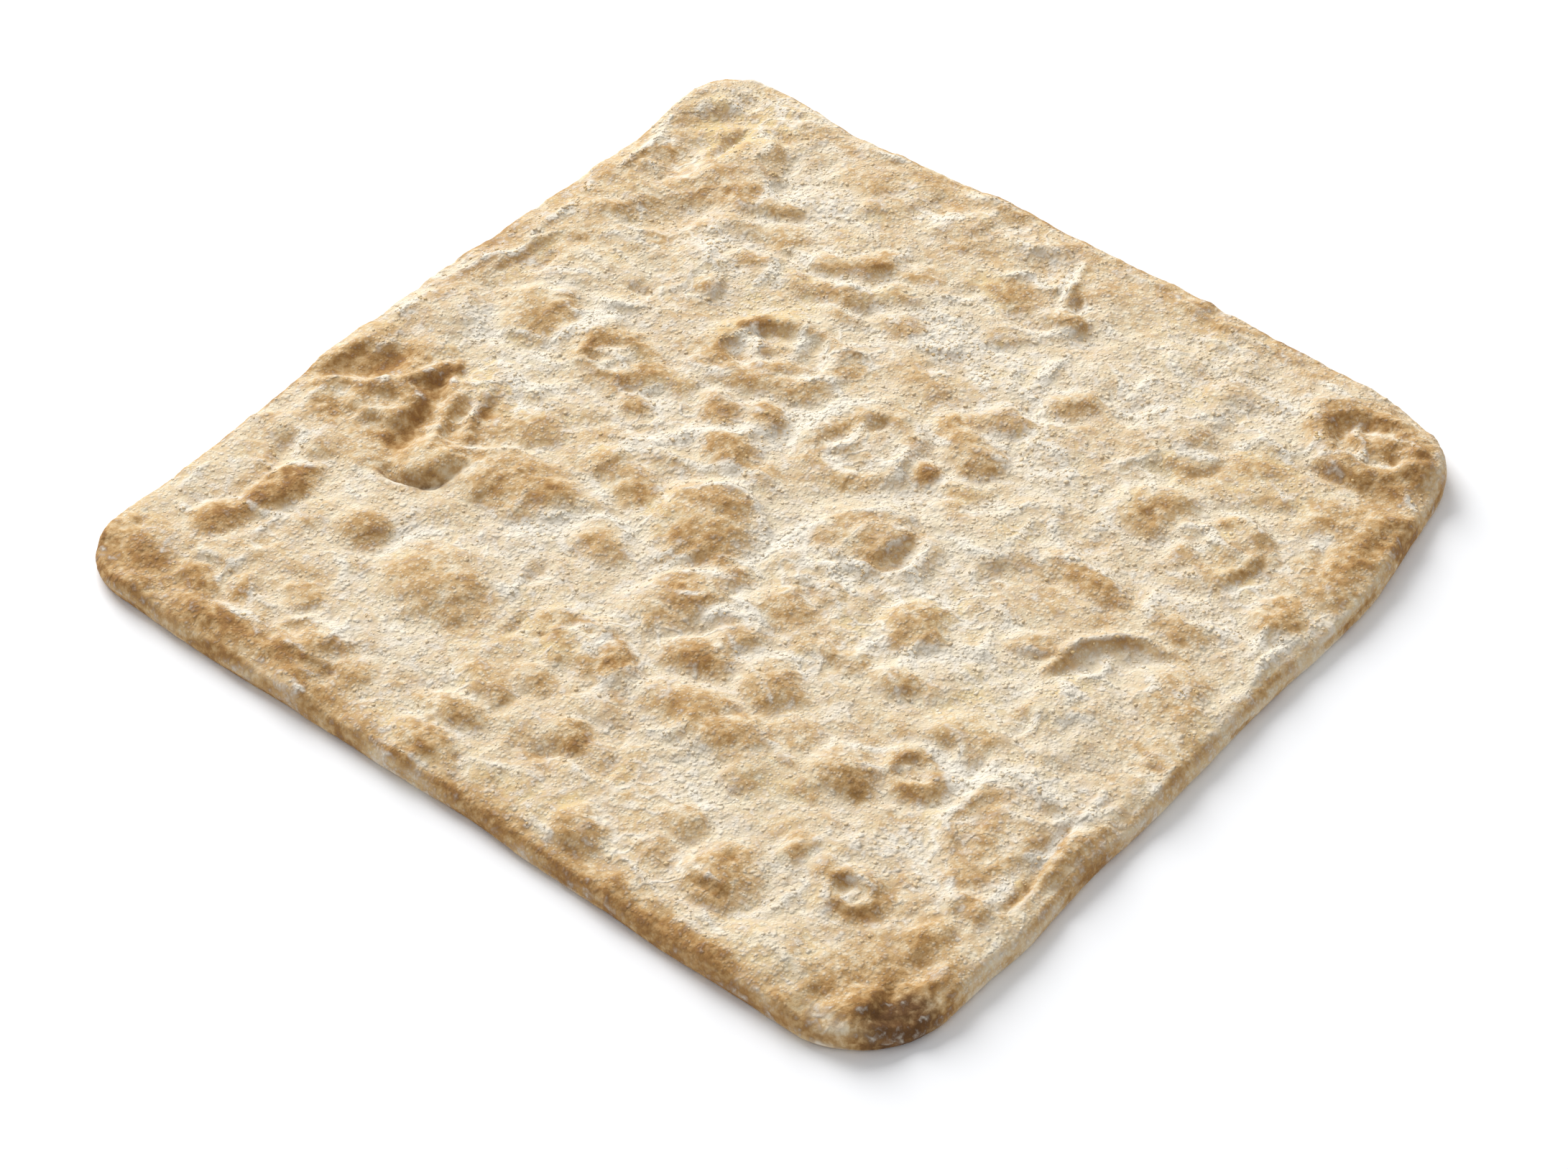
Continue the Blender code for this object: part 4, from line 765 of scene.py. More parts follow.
@dataclass(frozen=True)
class Outline:
    """The bread's widest outline, as polar radii from the middle of the dough."""

    near_left: float = 22.0
    near_right: float = 28.0
    far_right: float = 44.0
    far_left: float = 16.0
    corner_points: int = 19
    straight_points: int = 120

    def swelling(self, side: Side, station: np.ndarray) -> np.ndarray:
        """How far the outline stands out at a station along a side."""
        swells = [swell for swell in SWELLS if swell.side is side]
        return sum(swell.out * np.exp(-((station - swell.at) / swell.reach) ** 2) for swell in swells)

    def ring(self) -> tuple[np.ndarray, np.ndarray]:
        """Trace the outline.

        Returns:
            Its polar angles, rising, and the radius at each.
        """
        corners = ((self.near_left, -1, -1, 180), (self.near_right, 1, -1, 270),
                   (self.far_right, 1, 1, 0), (self.far_left, -1, 1, 90))
        arcs, normals = [], []
        for radius, side_x, side_y, first in corners:
            centre = np.array([side_x * (HALF_X - radius), side_y * (HALF_Y - radius)])
            turn = np.radians(first + np.linspace(0, 90, self.corner_points))
            outward = np.column_stack([np.cos(turn), np.sin(turn)])
            arcs.append(centre + radius * outward)
            normals.append(outward)
        points, outwards = [], []
        for arc, following, outward in zip(arcs, arcs[1:] + arcs[:1], normals):
            straight = np.linspace(arc[-1], following[0], self.straight_points)[1:-1]
            points += [arc, straight]
            outwards += [outward, np.repeat(outward[-1:], len(straight), axis=0)]
        points, outwards = np.vstack(points), np.vstack(outwards)
        x, y = points.T
        out_x = np.where(x > 0, self.swelling(Side.RIGHT, y), self.swelling(Side.LEFT, y))
        out_y = np.where(y > 0, self.swelling(Side.FAR, x), self.swelling(Side.NEAR, x))
        points = points + outwards * (outwards[:, :1] ** 2 * out_x[:, None]
                                      + outwards[:, 1:] ** 2 * out_y[:, None])
        angles = np.arctan2(points[:, 1], points[:, 0])
        order = np.argsort(angles)
        return angles[order], np.hypot(*points.T)[order]


OUTLINE_ANGLES, OUTLINE_RADII = Outline().ring()


def outline_radius(angle: np.ndarray) -> np.ndarray:
    """Radius of the widest outline in a direction from the middle."""
    return np.interp(angle, OUTLINE_ANGLES, OUTLINE_RADII, period=2 * np.pi)


def place_on_bread(u: np.ndarray, v: np.ndarray, inset: float) -> tuple[np.ndarray, np.ndarray]:
    """Turn square coordinates into places inside the outline.

    Args:
        u: along X, -1 to 1.
        v: along Y, -1 to 1.
        inset: how far inside the outline the square's edge comes to lie.

    Returns:
        x and y.
    """
    x, y = u * HALF_X, v * HALF_Y
    share = np.maximum(np.abs(u), np.abs(v))
    radius = outline_radius(np.arctan2(y, x)) - inset
    ratio = radius * share / np.maximum(np.hypot(x, y), 1e-9)
    # The fourth power keeps the grid square in the middle and bends it near the rim.
    pull = 1 + (ratio - 1) * share ** 4
    return x * pull, y * pull


@dataclass(frozen=True)
class Relief:
    """Heights of the skin: the solid's own form, and the finer skin on it."""

    # Sizes of the stretching that moved the dough's skin about, and how far each moved it.
    wanders: tuple[tuple[float, float], ...] = ((15.0, 1.2), (7.0, 0.9), (3.2, 0.3))
    # Size and height of the pillows that the dough rose into, those of the solid and finer ones.
    pillows: tuple[tuple[float, float], ...] = ((27.0, 2.0), (12.0, 0.7))
    fine_pillows: tuple[tuple[float, float], ...] = ((6.5, 0.45), (3.2, 0.5))
    pillow_turn: float = 20.0
    pillow_stretch: float = 1.35
    # How blunt the valleys between pillows are, and the mean that is taken off.
    pillow_bluntness: float = 0.006
    pillow_mean: float = 0.25
    # How far the pillows are pulled along by the stretching, over which size.
    pulls: tuple[float, float] = (13.0, 3.5)
    # Sharp little creases on the tops of bubbles, the mean that is taken off them, and how far over
    # the field a crown stands that has them in full.
    crinkles: tuple[tuple[float, float], ...] = ((6.5, 0.9), (3.6, 0.7))
    crinkle_mean: float = 0.45
    crinkle_crown: float = 2.5
    # Blisters: how many, the radii of the least and of the widest, how much rarer wide ones are, how
    # long for their width, which way they lie, and height over width with what it varies by.
    blisters: int = 300
    blister_radii: tuple[float, float] = (2.6, 9.0)
    blister_rarity: float = 1.7
    blister_lengths: tuple[float, float] = (1.0, 1.7)
    blister_turns: tuple[float, float] = (-10.0, 50.0)
    blister_rise: float = 0.08
    blister_rises: tuple[float, float] = (0.5, 1.3)
    # Wrinkles: how many, the mean and spread of the way they run, the spread of their bend from one
    # step to the next, and their steps, widths and heights. One in three is a crease.
    wrinkles: int = 330
    wrinkle_heading: tuple[float, float] = (20.0, 45.0)
    wrinkle_bend: float = 28.0
    wrinkle_steps: tuple[float, float] = (3.0, 9.0)
    wrinkle_widths: tuple[float, float] = (1.2, 2.2)
    wrinkle_rises: tuple[float, ...] = (-0.5, 0.8, 0.8)
    wrinkle_shares: tuple[float, float] = (0.5, 1.2)
    # Within this much of the rim the wrinkles run with it: what is left of their heading and bend.
    rim_reach: float = 15.0
    rim_heading: float = 0.15
    rim_bend: float = 0.2
    clump_rise: float = 0.3
    clump_edge: float = 1.3

    def wandered(self, x: np.ndarray, y: np.ndarray) -> tuple[np.ndarray, np.ndarray]:
        """Where a place's skin came from before the dough was stretched.

        Args:
            x: places along X, from the middle of the outline.
            y: places along Y.

        Returns:
            x and y before the stretching, from the middle of the dough.
        """
        x, y = x + MIDDLE_X, y + MIDDLE_Y
        return x + layered(0, self.wanders, x, y), y + layered(3, self.wanders, x, y)

    def skin(self, x: np.ndarray, y: np.ndarray) -> np.ndarray:
        """Height of the top skin over the underside.

        Args:
            x: places along X, wandered.
            y: places along Y, wandered.

        Returns:
            The height at each place.
        """
        height = np.full(x.shape, FIELD_HEIGHT)
        pull, reach = self.pulls
        pulled_x = x + reach * GRAINS[10].at(x, y, pull)
        pulled_y = y + reach * GRAINS[11].at(x, y, pull)
        for layer, (size, rise) in enumerate(self.pillows + self.fine_pillows):
            swing = GRAINS[6 + layer].at(pulled_x, pulled_y, size, self.pillow_turn, self.pillow_stretch)
            height += rise * (np.sqrt(swing * swing + self.pillow_bluntness) - self.pillow_mean)
        height += self.named(x, y)
        crown = np.clip((height - FIELD_HEIGHT) / self.crinkle_crown, 0, 1)
        crinkle = sum(rise * np.abs(GRAINS[20 + i].at(pulled_x, pulled_y, size))
                      for i, (size, rise) in enumerate(self.crinkles))
        height += crown * (self.crinkle_mean - crinkle)
        for wrinkle in self.drawn_wrinkles():
            near = wrinkle.near(x, y)
            height[near] += wrinkle.rise * wrinkle.section(x[near], y[near])
        for clump in CLUMPS:
            near = clump.near(x, y)
            height[near] += self.clump_rise * ease(self.clump_edge - clump.radius_in(x[near], y[near]))
        for blister in self.drawn_blisters():
            near = blister.near(x, y)
            height[near] += blister.height(x[near], y[near])
        return height

    def named(self, x: np.ndarray, y: np.ndarray) -> np.ndarray:
        """Height that the named bubbles, dents and folds add.

        Args:
            x: places along X, wandered.
            y: places along Y, wandered.

        Returns:
            The height that they add at each place.
        """
        height = np.zeros(x.shape)
        for spot in BUBBLES + DENTS:
            near = spot.near(x, y)
            height[near] += spot.height(x[near], y[near])
        for fold in FOLDS:
            near = fold.near(x, y)
            height[near] += OVEN_SPRING * fold.rise * fold.section(x[near], y[near])
        return height

    def drawn_blisters(self) -> list[Bubble]:
        """Draw small blisters between the named bubbles, by seed.

        Returns:
            The blisters.
        """
        draw = np.random.default_rng(SEED + 60)
        least, widest = self.blister_radii
        found = []
        for _ in range(self.blisters):
            size = least + (widest - least) * draw.random() ** self.blister_rarity
            found.append(Bubble(draw.uniform(-HALF_X, HALF_X), draw.uniform(-HALF_Y, HALF_Y),
                                size * draw.uniform(*self.blister_lengths), size,
                                draw.uniform(*self.blister_turns),
                                self.blister_rise * size * draw.uniform(*self.blister_rises)))
        return found

    def drawn_wrinkles(self) -> list[Fold]:
        """Draw short, bent wrinkles of the skin, by seed.

        Returns:
            The wrinkles, each of three steps.
        """
        draw = np.random.default_rng(SEED + 61)
        found = []
        for _ in range(self.wrinkles):
            at = np.array([draw.uniform(-HALF_X, HALF_X), draw.uniform(-HALF_Y, HALF_Y)])
            heading, bend = draw.normal(*self.wrinkle_heading), draw.normal(0, self.wrinkle_bend)
            by_side, by_end = HALF_Y - abs(at[1]) < self.rim_reach, HALF_X - abs(at[0]) < self.rim_reach
            if by_side or by_end:
                heading = (0 if by_side else 90) + self.rim_heading * heading
                bend *= self.rim_bend
            points = [tuple(at)]
            for _ in range(3):
                turn = math.radians(heading)
                at = at + draw.uniform(*self.wrinkle_steps) * np.array([math.cos(turn), math.sin(turn)])
                points.append(tuple(at))
                heading += bend
            left, right = draw.uniform(*self.wrinkle_widths, 2)
            rise = draw.choice(self.wrinkle_rises) * draw.uniform(*self.wrinkle_shares)
            found.append(Fold(tuple(points), left, right, rise))
        return found

    def rolled(self, height: np.ndarray, x: np.ndarray, y: np.ndarray) -> np.ndarray:
        """Height of the skin, lowered over the last stretch before the rim."""
        to_edge = outline_radius(np.arctan2(y, x)) - np.hypot(x, y)
        return height - EDGE_DROP * np.clip(1 - to_edge / EDGE_ROLL, 0, 1) ** 2


def smoothed(field: np.ndarray, cells: float) -> np.ndarray:
    """Blur a grid of values.

    Args:
        field: values by row and column.
        cells: standard deviation of the blur, in cells.

    Returns:
        The blurred values.
    """
    reach = int(3 * cells)
    steps = np.arange(-reach, reach + 1)
    weights = np.exp(-0.5 * (steps / cells) ** 2)
    weights /= weights.sum()
    for axis in (0, 1):
        pad = [(0, 0), (0, 0)]
        pad[axis] = (reach, reach)
        padded = np.pad(field, pad, mode="edge")
        rows = [np.take(padded, range(i, i + field.shape[axis]), axis=axis) * weight
                for i, weight in enumerate(weights)]
        field = sum(rows)
    return field


@dataclass(frozen=True)
class Browning:
    """How the oven and the flour have coloured the skin, with painted shade on the slopes away from
    the lamp and in the hollows, from 0 to about 1 for each tint.
    """

    # What all of the skin has.
    ground_toast: float = 0.42
    ground_flour: float = 0.17
    # Size and swing of the clouds in the browning, and of the drifts of flour, with their direction.
    toast_clouds: tuple[tuple[float, float], ...] = ((42.0, 0.2), (10.0, 0.13), (4.5, 0.14))
    flour_drifts: tuple[tuple[float, float], ...] = ((34.0, 0.26), (12.0, 0.22), (5.0, 0.2))
    drift_turn: float = 15.0
    drift_stretch: float = 1.9
    # Where the dough shows yellow: number of the grain, size and swing, and what the grain starts at.
    honey_clouds: tuple[tuple[int, float, float], ...] = ((4, 38.0, 0.7), (5, 11.0, 0.6), (3, 5.0, 0.4))
    honey_start: float = 0.1
    # What stands over the skin round it has more toast and less flour. The reaches over which a crown
    # and its surroundings are levelled, and the height between them that counts in full; then the
    # same for the fine skin.
    crown_reaches: tuple[float, float] = (1.0, 12.0)
    crown_full: float = 1.2
    crown_toast: float = 0.1
    hollow_flour: float = 0.28
    fine_reach: float = 2.2
    fine_full: float = 0.4
    fine_toast: float = 0.16
    fine_flour: float = 0.5
    # Painted shade: the slopes that face away from the key lamp are given more toast, so that they
    # show darker as if shaded: the direction they face in degrees from +X, the slope that counts in
    # full, its share of the fine skin's slope, and the reach it is levelled over.
    shaded_azimuth: float = -25.0
    painted_shade_toast: float = 0.36
    slope_full: float = 0.5
    slope_fine: float = 0.3
    slope_reach: float = 0.8
    # Named bubbles, dents and patches of brown, and the size and swing of what breaks them up.
    bubble_toast: float = 0.13
    dent_toast: float = 0.18
    dent_edge: float = 1.25
    brown_share: float = 0.28
    streaks: tuple[tuple[float, float], ...] = ((9.0, 0.6), (4.0, 0.6))
    # How far the edges of patches are moved to and fro, from this size up in full.
    frays: tuple[tuple[float, float], ...] = ((11.0, 4.5), (5.0, 2.2), (2.2, 0.9))
    frayed_size: float = 22.0
    frayed_reach: float = 2.2
    # Ridges have lost toast and caught flour, named folds the most; creases have kept the brown.
    fold_toast: float = 0.75
    ridge_toast: float = 0.3
    crease_toast: float = 0.25
    ridge_flour: float = 0.75
    fold_flour: float = 1.125
    clump_flour: float = 0.8
    clump_edge: float = 1.4
    # Flour falls off what is browner than this.
    bare_toast: float = 0.4
    shed_flour: float = 0.5
    least_flour: float = -0.25
    most: float = 1.4

    def tints(self, x: np.ndarray, y: np.ndarray, height: np.ndarray, named: np.ndarray,
              wrinkles: list[Fold], cell: float) -> dict[Tint, np.ndarray]:
        """Tint the top skin.

        Args:
            x: places along X, wandered, by row and column.
            y: places along Y, wandered.
            height: height of the skin there.
            named: what the named bubbles, dents and folds add to it.
            wrinkles: the wrinkles between them.
            cell: spacing of the grid.

        Returns:
            The share of each tint at each place.
        """
        tint = self._ground(x, y, height, named, cell)
        self._tint_folds(tint, x, y, wrinkles)
        self._tint_spots(tint, x, y)
        for clump in CLUMPS:
            near = clump.near(x, y)
            share = ease(self.clump_edge - clump.radius_in(x[near], y[near]))
            tint[Tint.FLOUR][near] += self.clump_flour * share
        browner = np.clip(tint[Tint.TOAST] - self.bare_toast, 0, 1)
        tint[Tint.FLOUR] -= self.shed_flour * browner + tint[Tint.CHAR]
        return {kind: np.clip(values, self.least_flour if kind is Tint.FLOUR else 0, self.most)
                for kind, values in tint.items()}

    def _ground(self, x: np.ndarray, y: np.ndarray, height: np.ndarray, named: np.ndarray,
                cell: float) -> dict[Tint, np.ndarray]:
        """Tint the skin by its height, by its slope as painted shade on the slopes that face away from
        the lamp, and by the clouds in its browning and flour.

        Args:
            x: places along X.
            y: places along Y.
            height: height of the skin.
            named: what the named bubbles, dents and folds add to it.
            cell: spacing of the grid.

        Returns:
            The share of each tint at each place.
        """
        tint = {kind: np.zeros(x.shape) for kind in Tint}
        near, wide = self.crown_reaches
        crown = (smoothed(named, near / cell) - smoothed(named, wide / cell)) / self.crown_full
        fine = height - smoothed(height, self.fine_reach / cell)
        form = self.slope_fine * height + (1 - self.slope_fine) * named
        rise_y, rise_x = np.gradient(smoothed(form, self.slope_reach / cell), cell)
        # Painted shade: more toast on the slopes that face away from the key lamp.
        shaded_way = math.radians(self.shaded_azimuth)
        facing = -(rise_x * math.cos(shaded_way) + rise_y * math.sin(shaded_way)) / self.slope_full
        tint[Tint.TOAST] += (self.ground_toast + layered(12, self.toast_clouds, x, y)
                             + self.crown_toast * np.clip(crown, -0.8, 1)
                             + self.fine_toast * np.clip(fine / self.fine_full, -0.9, 1)
                             + self.painted_shade_toast * np.clip(facing, -0.6, 1))
        tint[Tint.HONEY] += sum(swing * np.clip(GRAINS[i].at(x, y, size) + self.honey_start, 0, 1)
                                for i, size, swing in self.honey_clouds)
        drifts = layered(15, self.flour_drifts, x, y, self.drift_turn, self.drift_stretch)
        standing = np.clip(crown + self.fine_flour * fine, -0.8, 1)
        tint[Tint.FLOUR] += self.ground_flour + drifts - self.hollow_flour * standing
        return tint

    def _tint_folds(self, tint: dict[Tint, np.ndarray], x: np.ndarray, y: np.ndarray,
                    wrinkles: list[Fold]) -> None:
        """Flour the ridges and brown the creases.

        Args:
            tint: the tints so far, which are changed.
            x: places along X.
            y: places along Y.
            wrinkles: the wrinkles between the named folds.
        """
        ridges = [(fold, self.fold_flour, self.fold_toast * fold.toast) for fold in FOLDS]
        ridges += [(wrinkle, self.ridge_flour, self.crease_toast if wrinkle.rise < 0 else 0.0)
                   for wrinkle in wrinkles]
        for fold, flour, toast in ridges:
            near = fold.near(x, y)
            section = fold.section(x[near], y[near])
            tint[Tint.TOAST][near] += toast * section
            if fold.rise > 0:
                tint[Tint.TOAST][near] -= self.ridge_toast * section ** 2
                tint[Tint.FLOUR][near] += flour * section ** 2

    def _tint_spots(self, tint: dict[Tint, np.ndarray], x: np.ndarray, y: np.ndarray) -> None:
        """Tint the named bubbles, dents and patches, each with a frayed edge.

        Args:
            tint: the tints so far, which are changed.
            x: places along X.
            y: places along Y.
        """
        to_and_fro = layered(8, self.frays, x, y), layered(0, self.frays, x, y)
        streaks = np.clip(1 + layered(22, self.streaks, x, y), 0, 2)
        for spot in BUBBLES + DENTS + PATCHES + FLOURED + BROWNED:
            near = spot.near(x, y, self.frayed_reach)
            fray = min(spot.short / self.frayed_size, 1.0)
            near_x, near_y = x[near] + fray * to_and_fro[0][near], y[near] + fray * to_and_fro[1][near]
            if isinstance(spot, Bubble):
                shade = spot.browning(near_x, near_y)
                tint[Tint.TOAST][near] += self.bubble_toast * streaks[near] * shade
            elif isinstance(spot, Dent):
                share = ease(self.dent_edge - spot.radius_in(near_x, near_y))
                tint[Tint.TOAST][near] += self.dent_toast * spot.toast * share
                # Painted shade: a greyer tone laid in the hollow.
                tint[Tint.HOLLOW_SHADE][near] += spot.hollow_shade * share
            else:
                share = self.brown_share * streaks[near] if spot in BROWNED else 1.0
                tint[spot.tint][near] += share * spot.share(near_x, near_y)


def linear(colour: str) -> tuple[float, float, float, float]:
    """Linear RGBA of an sRGB hex colour such as #C99A66."""
    shares = [int(colour[i:i + 2], 16) / 255 for i in (1, 3, 5)]
    return (*(c / 12.92 if c <= 0.04045 else ((c + 0.055) / 1.055) ** 2.4 for c in shares), 1.0)


def add_node(tree: bpy.types.NodeTree, kind: str, settings: dict[str, object] | None = None,
             inputs: dict[str | int, object] | None = None,
             output: str | int = 0) -> bpy.types.NodeSocket | None:
    """Add a node, set it up and fill or link its inputs.

    Args:
        tree: the node tree.
        kind: the node's Blender type.
        settings: values of the node's own properties.
        inputs: for an input's name or number, a value or the socket that drives it.
        output: name or number of the output that is wanted.

    Returns:
        That output, or None from a node that has no outputs.
    """
    node = tree.nodes.new(kind)
    for name, value in (settings or {}).items():
        setattr(node, name, value)
    for name, value in (inputs or {}).items():
        if isinstance(value, bpy.types.NodeSocket):
            tree.links.new(value, node.inputs[name])
        else:
            node.inputs[name].default_value = value
    return node.outputs[output] if len(node.outputs) else None


# Kind and settings of the nodes that the finishes use most.
TIMES_PLUS = ("ShaderNodeMath", {"operation": "MULTIPLY_ADD"})
SMOOTH_STEP = ("ShaderNodeMapRange", {"interpolation_type": "SMOOTHSTEP"})
COLOUR_MIX = ("ShaderNodeMix", {"data_type": "RGBA"})


@dataclass(frozen=True)
class Stain:
    """One layer of colour in the crust: where a tint passes low to high, shaken by the mottles."""

    tint: Tint
    colour: str
    low: float
    high: float
    shake: float
    cover: float = 1.0


@dataclass(frozen=True)
class Lines:
    """Fine lines in the skin, where noise crosses its middle, broken into short runs."""

    spacing_mm: float
    # How far the noise may lie from its middle on a line, and how high the line stands.
    width: float
    rise: float
    colour: str
    cover: float
    # Toast from which a line starts to be coloured, and that at which it fully is.
    bare: float
    full: float


@dataclass(frozen=True)
class FlouredCrust:
    """Wheat crust, par-baked on a tray and dusted with flour.

    Cream dough shows in the hollows, golden tan on what stood up in the oven's heat, and dry
    flour lies over both as grains that the eye sees as a pale stipple.
    """

    dough: str = "#E0D2B6"
    # The pores of the skin and its blotches: their size and detail, how much they shake the edges of
    # stains, and how high they stand.
    mottles: tuple[tuple[float, float, float, float], ...] = (
        (0.55, 2.0, 0.2, 0.15), (2.6, 3.0, 1.5, 1.3), (6.5, 3.0, 0.7, 0.0))
    # Blender's noise keeps near its middle, so its swing is spread by this much.
    spread: float = 1.9
    stains: tuple[Stain, ...] = (
        Stain(Tint.HONEY, "#D9C085", 0.1, 1.1, 0.7, 0.8),
        Stain(Tint.TOAST, "#CEAE7F", -0.25, 0.9, 0.9),
        Stain(Tint.TOAST, "#AC834D", 0.4, 1.5, 1.0),
        Stain(Tint.TOAST, "#825832", 1.0, 2.1, 0.8),
        # Painted shade: a greyer olive tone where the hollow shade amount is.
        Stain(Tint.HOLLOW_SHADE, "#A8976B", 0.2, 1.4, 0.5, 0.6),
        Stain(Tint.CHAR, "#624327", 0.15, 1.1, 0.4),
        Stain(Tint.FLOUR, "#E6DFD1", 0.0, 1.2, 1.0, 0.9),
    )
    # Brown creases in the browned skin, and flour raised along the wrinkles of the pale skin.
    lines: tuple[Lines, ...] = (
        Lines(4.5, 0.26, -0.6, "#A67A49", 0.3, 0.3, 0.8),
        Lines(8.0, 0.14, 0.9, "#EEE7DA", 0.8, 0.8, 0.2),
    )
    # The runs of a line: their size in spacings, and the swing at which they begin and are whole.
    runs: tuple[float, float, float] = (2.5, -0.15, 0.35)
    # Wheat flour's grains are 0.05 to 0.2 mm, and cake into crumbs of 0.4 to 1.5 mm, which show.
    # Each kind of crumb: its spacing, the share of places that have one where there is no flour,
    # and the same where it lies thickest.
    crumbs: tuple[tuple[float, float, float], ...] = (
        (0.9, 0.7, 0.9), (1.5, 0.6, 0.9), (2.4, 0.1, 0.8))
    crumb_colour: str = "#E8DFCC"
    crumb_cover: float = 0.6
    # Radius and height of a crumb in spacings, and how gradually crumbs grow rare.
    crumb_radius: float = 0.6
    crumb_rise: float = 0.7
    crumb_fade: float = 0.08
    # How much rarer crumbs are on browned and on charred skin, and the toast on which the colour of
    # those that are left is hidden and shows in full.
    toast_sheds: float = 0.12
    char_sheds: float = 2.0
    crumb_hidden: float = 1.7
    crumb_shown: float = 0.3
    bump_mm: float = 0.25
    roughness: float = 0.9
    specular: float = 0.25

    def material(self) -> bpy.types.Material:
        """Make the crust's material.

        Returns:
            A material that reads the tints from the mesh.
        """
        material = bpy.data.materials.new("floured_crust")
        material.use_nodes = True
        material.node_tree.nodes.clear()
        paint = CrustPaint(material.node_tree, self)
        for stain in self.stains:
            paint.lay_stain(stain)
        for lines in self.lines:
            paint.draw_lines(lines)
        for spacing, bare, floured_share in self.crumbs:
            paint.strew_crumbs(spacing, bare, floured_share)
        paint.finish()
        return material


class CrustPaint:
    """The crust's nodes: layers of colour and relief over bare dough."""

    def __init__(self, tree: bpy.types.NodeTree, crust: FlouredCrust) -> None:
        """Start with bare, mottled dough.

        Args:
            tree: the material's empty node tree.
            crust: the finish that is painted.
        """
        self.tree, self.crust = tree, crust
        self.place = add_node(tree, "ShaderNodeTexCoord", output="Object")
        self.amounts = {tint: add_node(tree, "ShaderNodeAttribute", {"attribute_name": tint.value},
                                       output="Fac") for tint in Tint}
        self.colour: object = linear(crust.dough)
        self.shaking: object = 0.0
        self.relief: object = 0.0
        for size_mm, detail, shake, rise in crust.mottles:
            wave = self.unevenness(size_mm, detail)
            self.shaking = add_node(tree, *TIMES_PLUS, {0: wave, 1: shake, 2: self.shaking})
            self.relief = add_node(tree, *TIMES_PLUS, {0: wave, 1: rise, 2: self.relief})

    def unevenness(self, size_mm: float, detail: float) -> bpy.types.NodeSocket:
        """Vary the skin evenly to both sides of zero.

        Args:
            size_mm: width of the lumps.
            detail: how many finer sizes they have.

        Returns:
            The swing, about -0.5 to 0.5.
        """
        drawn = add_node(self.tree, "ShaderNodeTexNoise", {"noise_dimensions": "3D"}, {
            "Vector": self.place, "Scale": 1 / (size_mm * MM), "Detail": detail, "Roughness": 0.55})
        spread = self.crust.spread
        return add_node(self.tree, *TIMES_PLUS, {0: drawn, 1: spread, 2: -0.5 * spread})

    def lay_colour(self, colour: str, amount: object, low: float, high: float, cover: object) -> None:
        """Lay a colour over what is there, where an amount passes low to high.

        Args:
            colour: its sRGB hex value.
            amount: the amount.
            low: where the colour starts.
            high: from where it covers in full.
            cover: what it covers at most.
        """
        share = add_node(self.tree, *SMOOTH_STEP, {
            "Value": amount, "From Min": low, "From Max": high, "To Max": cover})
        self.colour = add_node(self.tree, *COLOUR_MIX, {0: share, 6: self.colour, 7: linear(colour)}, 2)

    def lay_shape(self, shape: bpy.types.NodeSocket, rise: float, cover: float) -> bpy.types.NodeSocket:
        """Raise the skin by a small shape.

        Args:
            shape: the shape's share at each place.
            rise: how high it stands.
            cover: what its colour covers at most.

        Returns:
            What its colour covers at each place.
        """
        self.relief = add_node(self.tree, *TIMES_PLUS, {0: shape, 1: rise, 2: self.relief})
        return add_node(self.tree, *TIMES_PLUS, {0: shape, 1: cover, 2: 0.0})

    def lay_stain(self, stain: Stain) -> None:
        """Lay a stain, its edge shaken by the mottles."""
        amount = self.amounts[stain.tint]
        shaken = add_node(self.tree, *TIMES_PLUS, {0: self.shaking, 1: stain.shake, 2: amount})
        self.lay_colour(stain.colour, shaken, stain.low, stain.high, stain.cover)

    def draw_lines(self, lines: Lines) -> None:
        """Draw fine lines, each broken into short runs.

        Args:
            lines: the lines.
        """
        size, begins, whole = self.crust.runs
        crossing = add_node(self.tree, "ShaderNodeMath", {"operation": "ABSOLUTE"},
                            {0: self.unevenness(lines.spacing_mm, 1.5)})
        drawn = add_node(self.tree, *SMOOTH_STEP, {
            "Value": crossing, "From Min": lines.width, "From Max": 0.0})
        broken = add_node(self.tree, *SMOOTH_STEP, {
            "Value": self.unevenness(size * lines.spacing_mm, 1.0), "From Min": begins,
            "From Max": whole, "To Max": drawn})
        cover = self.lay_shape(broken, lines.rise, lines.cover)
        self.lay_colour(lines.colour, self.amounts[Tint.TOAST], lines.bare, lines.full, cover)

    def strew_crumbs(self, spacing: float, bare: float, dense: float) -> None:
        """Strew one size of flour crumb.

        Args:
            spacing: distance between their places.
            bare: the share of places that have one where there is no flour.
            dense: the same where flour lies thickest.
        """
        crust = self.crust
        distance = add_node(self.tree, "ShaderNodeTexVoronoi", {"feature": "F1"}, {
            "Vector": self.place, "Scale": 1 / (spacing * MM)}, "Distance")
        drawn = add_node(self.tree, "ShaderNodeSeparateColor", None,
                         {"Color": distance.node.outputs["Color"]}, "Red")
        chance: object = bare
        for value, weight in ((self.amounts[Tint.FLOUR], dense - bare), (drawn, -1.0),
                              (self.amounts[Tint.TOAST], -crust.toast_sheds),
                              (self.amounts[Tint.CHAR], -crust.char_sheds)):
            chance = add_node(self.tree, *TIMES_PLUS, {0: value, 1: weight, 2: chance})
        lies = add_node(self.tree, *SMOOTH_STEP, {
            "Value": chance, "From Min": -crust.crumb_fade, "From Max": crust.crumb_fade})
        crumb = add_node(self.tree, *SMOOTH_STEP, {
            "Value": distance, "From Min": crust.crumb_radius, "From Max": 0.0, "To Max": lies})
        cover = self.lay_shape(crumb, crust.crumb_rise * spacing, crust.crumb_cover)
        self.lay_colour(crust.crumb_colour, self.amounts[Tint.TOAST], crust.crumb_hidden,
                        crust.crumb_shown, cover)

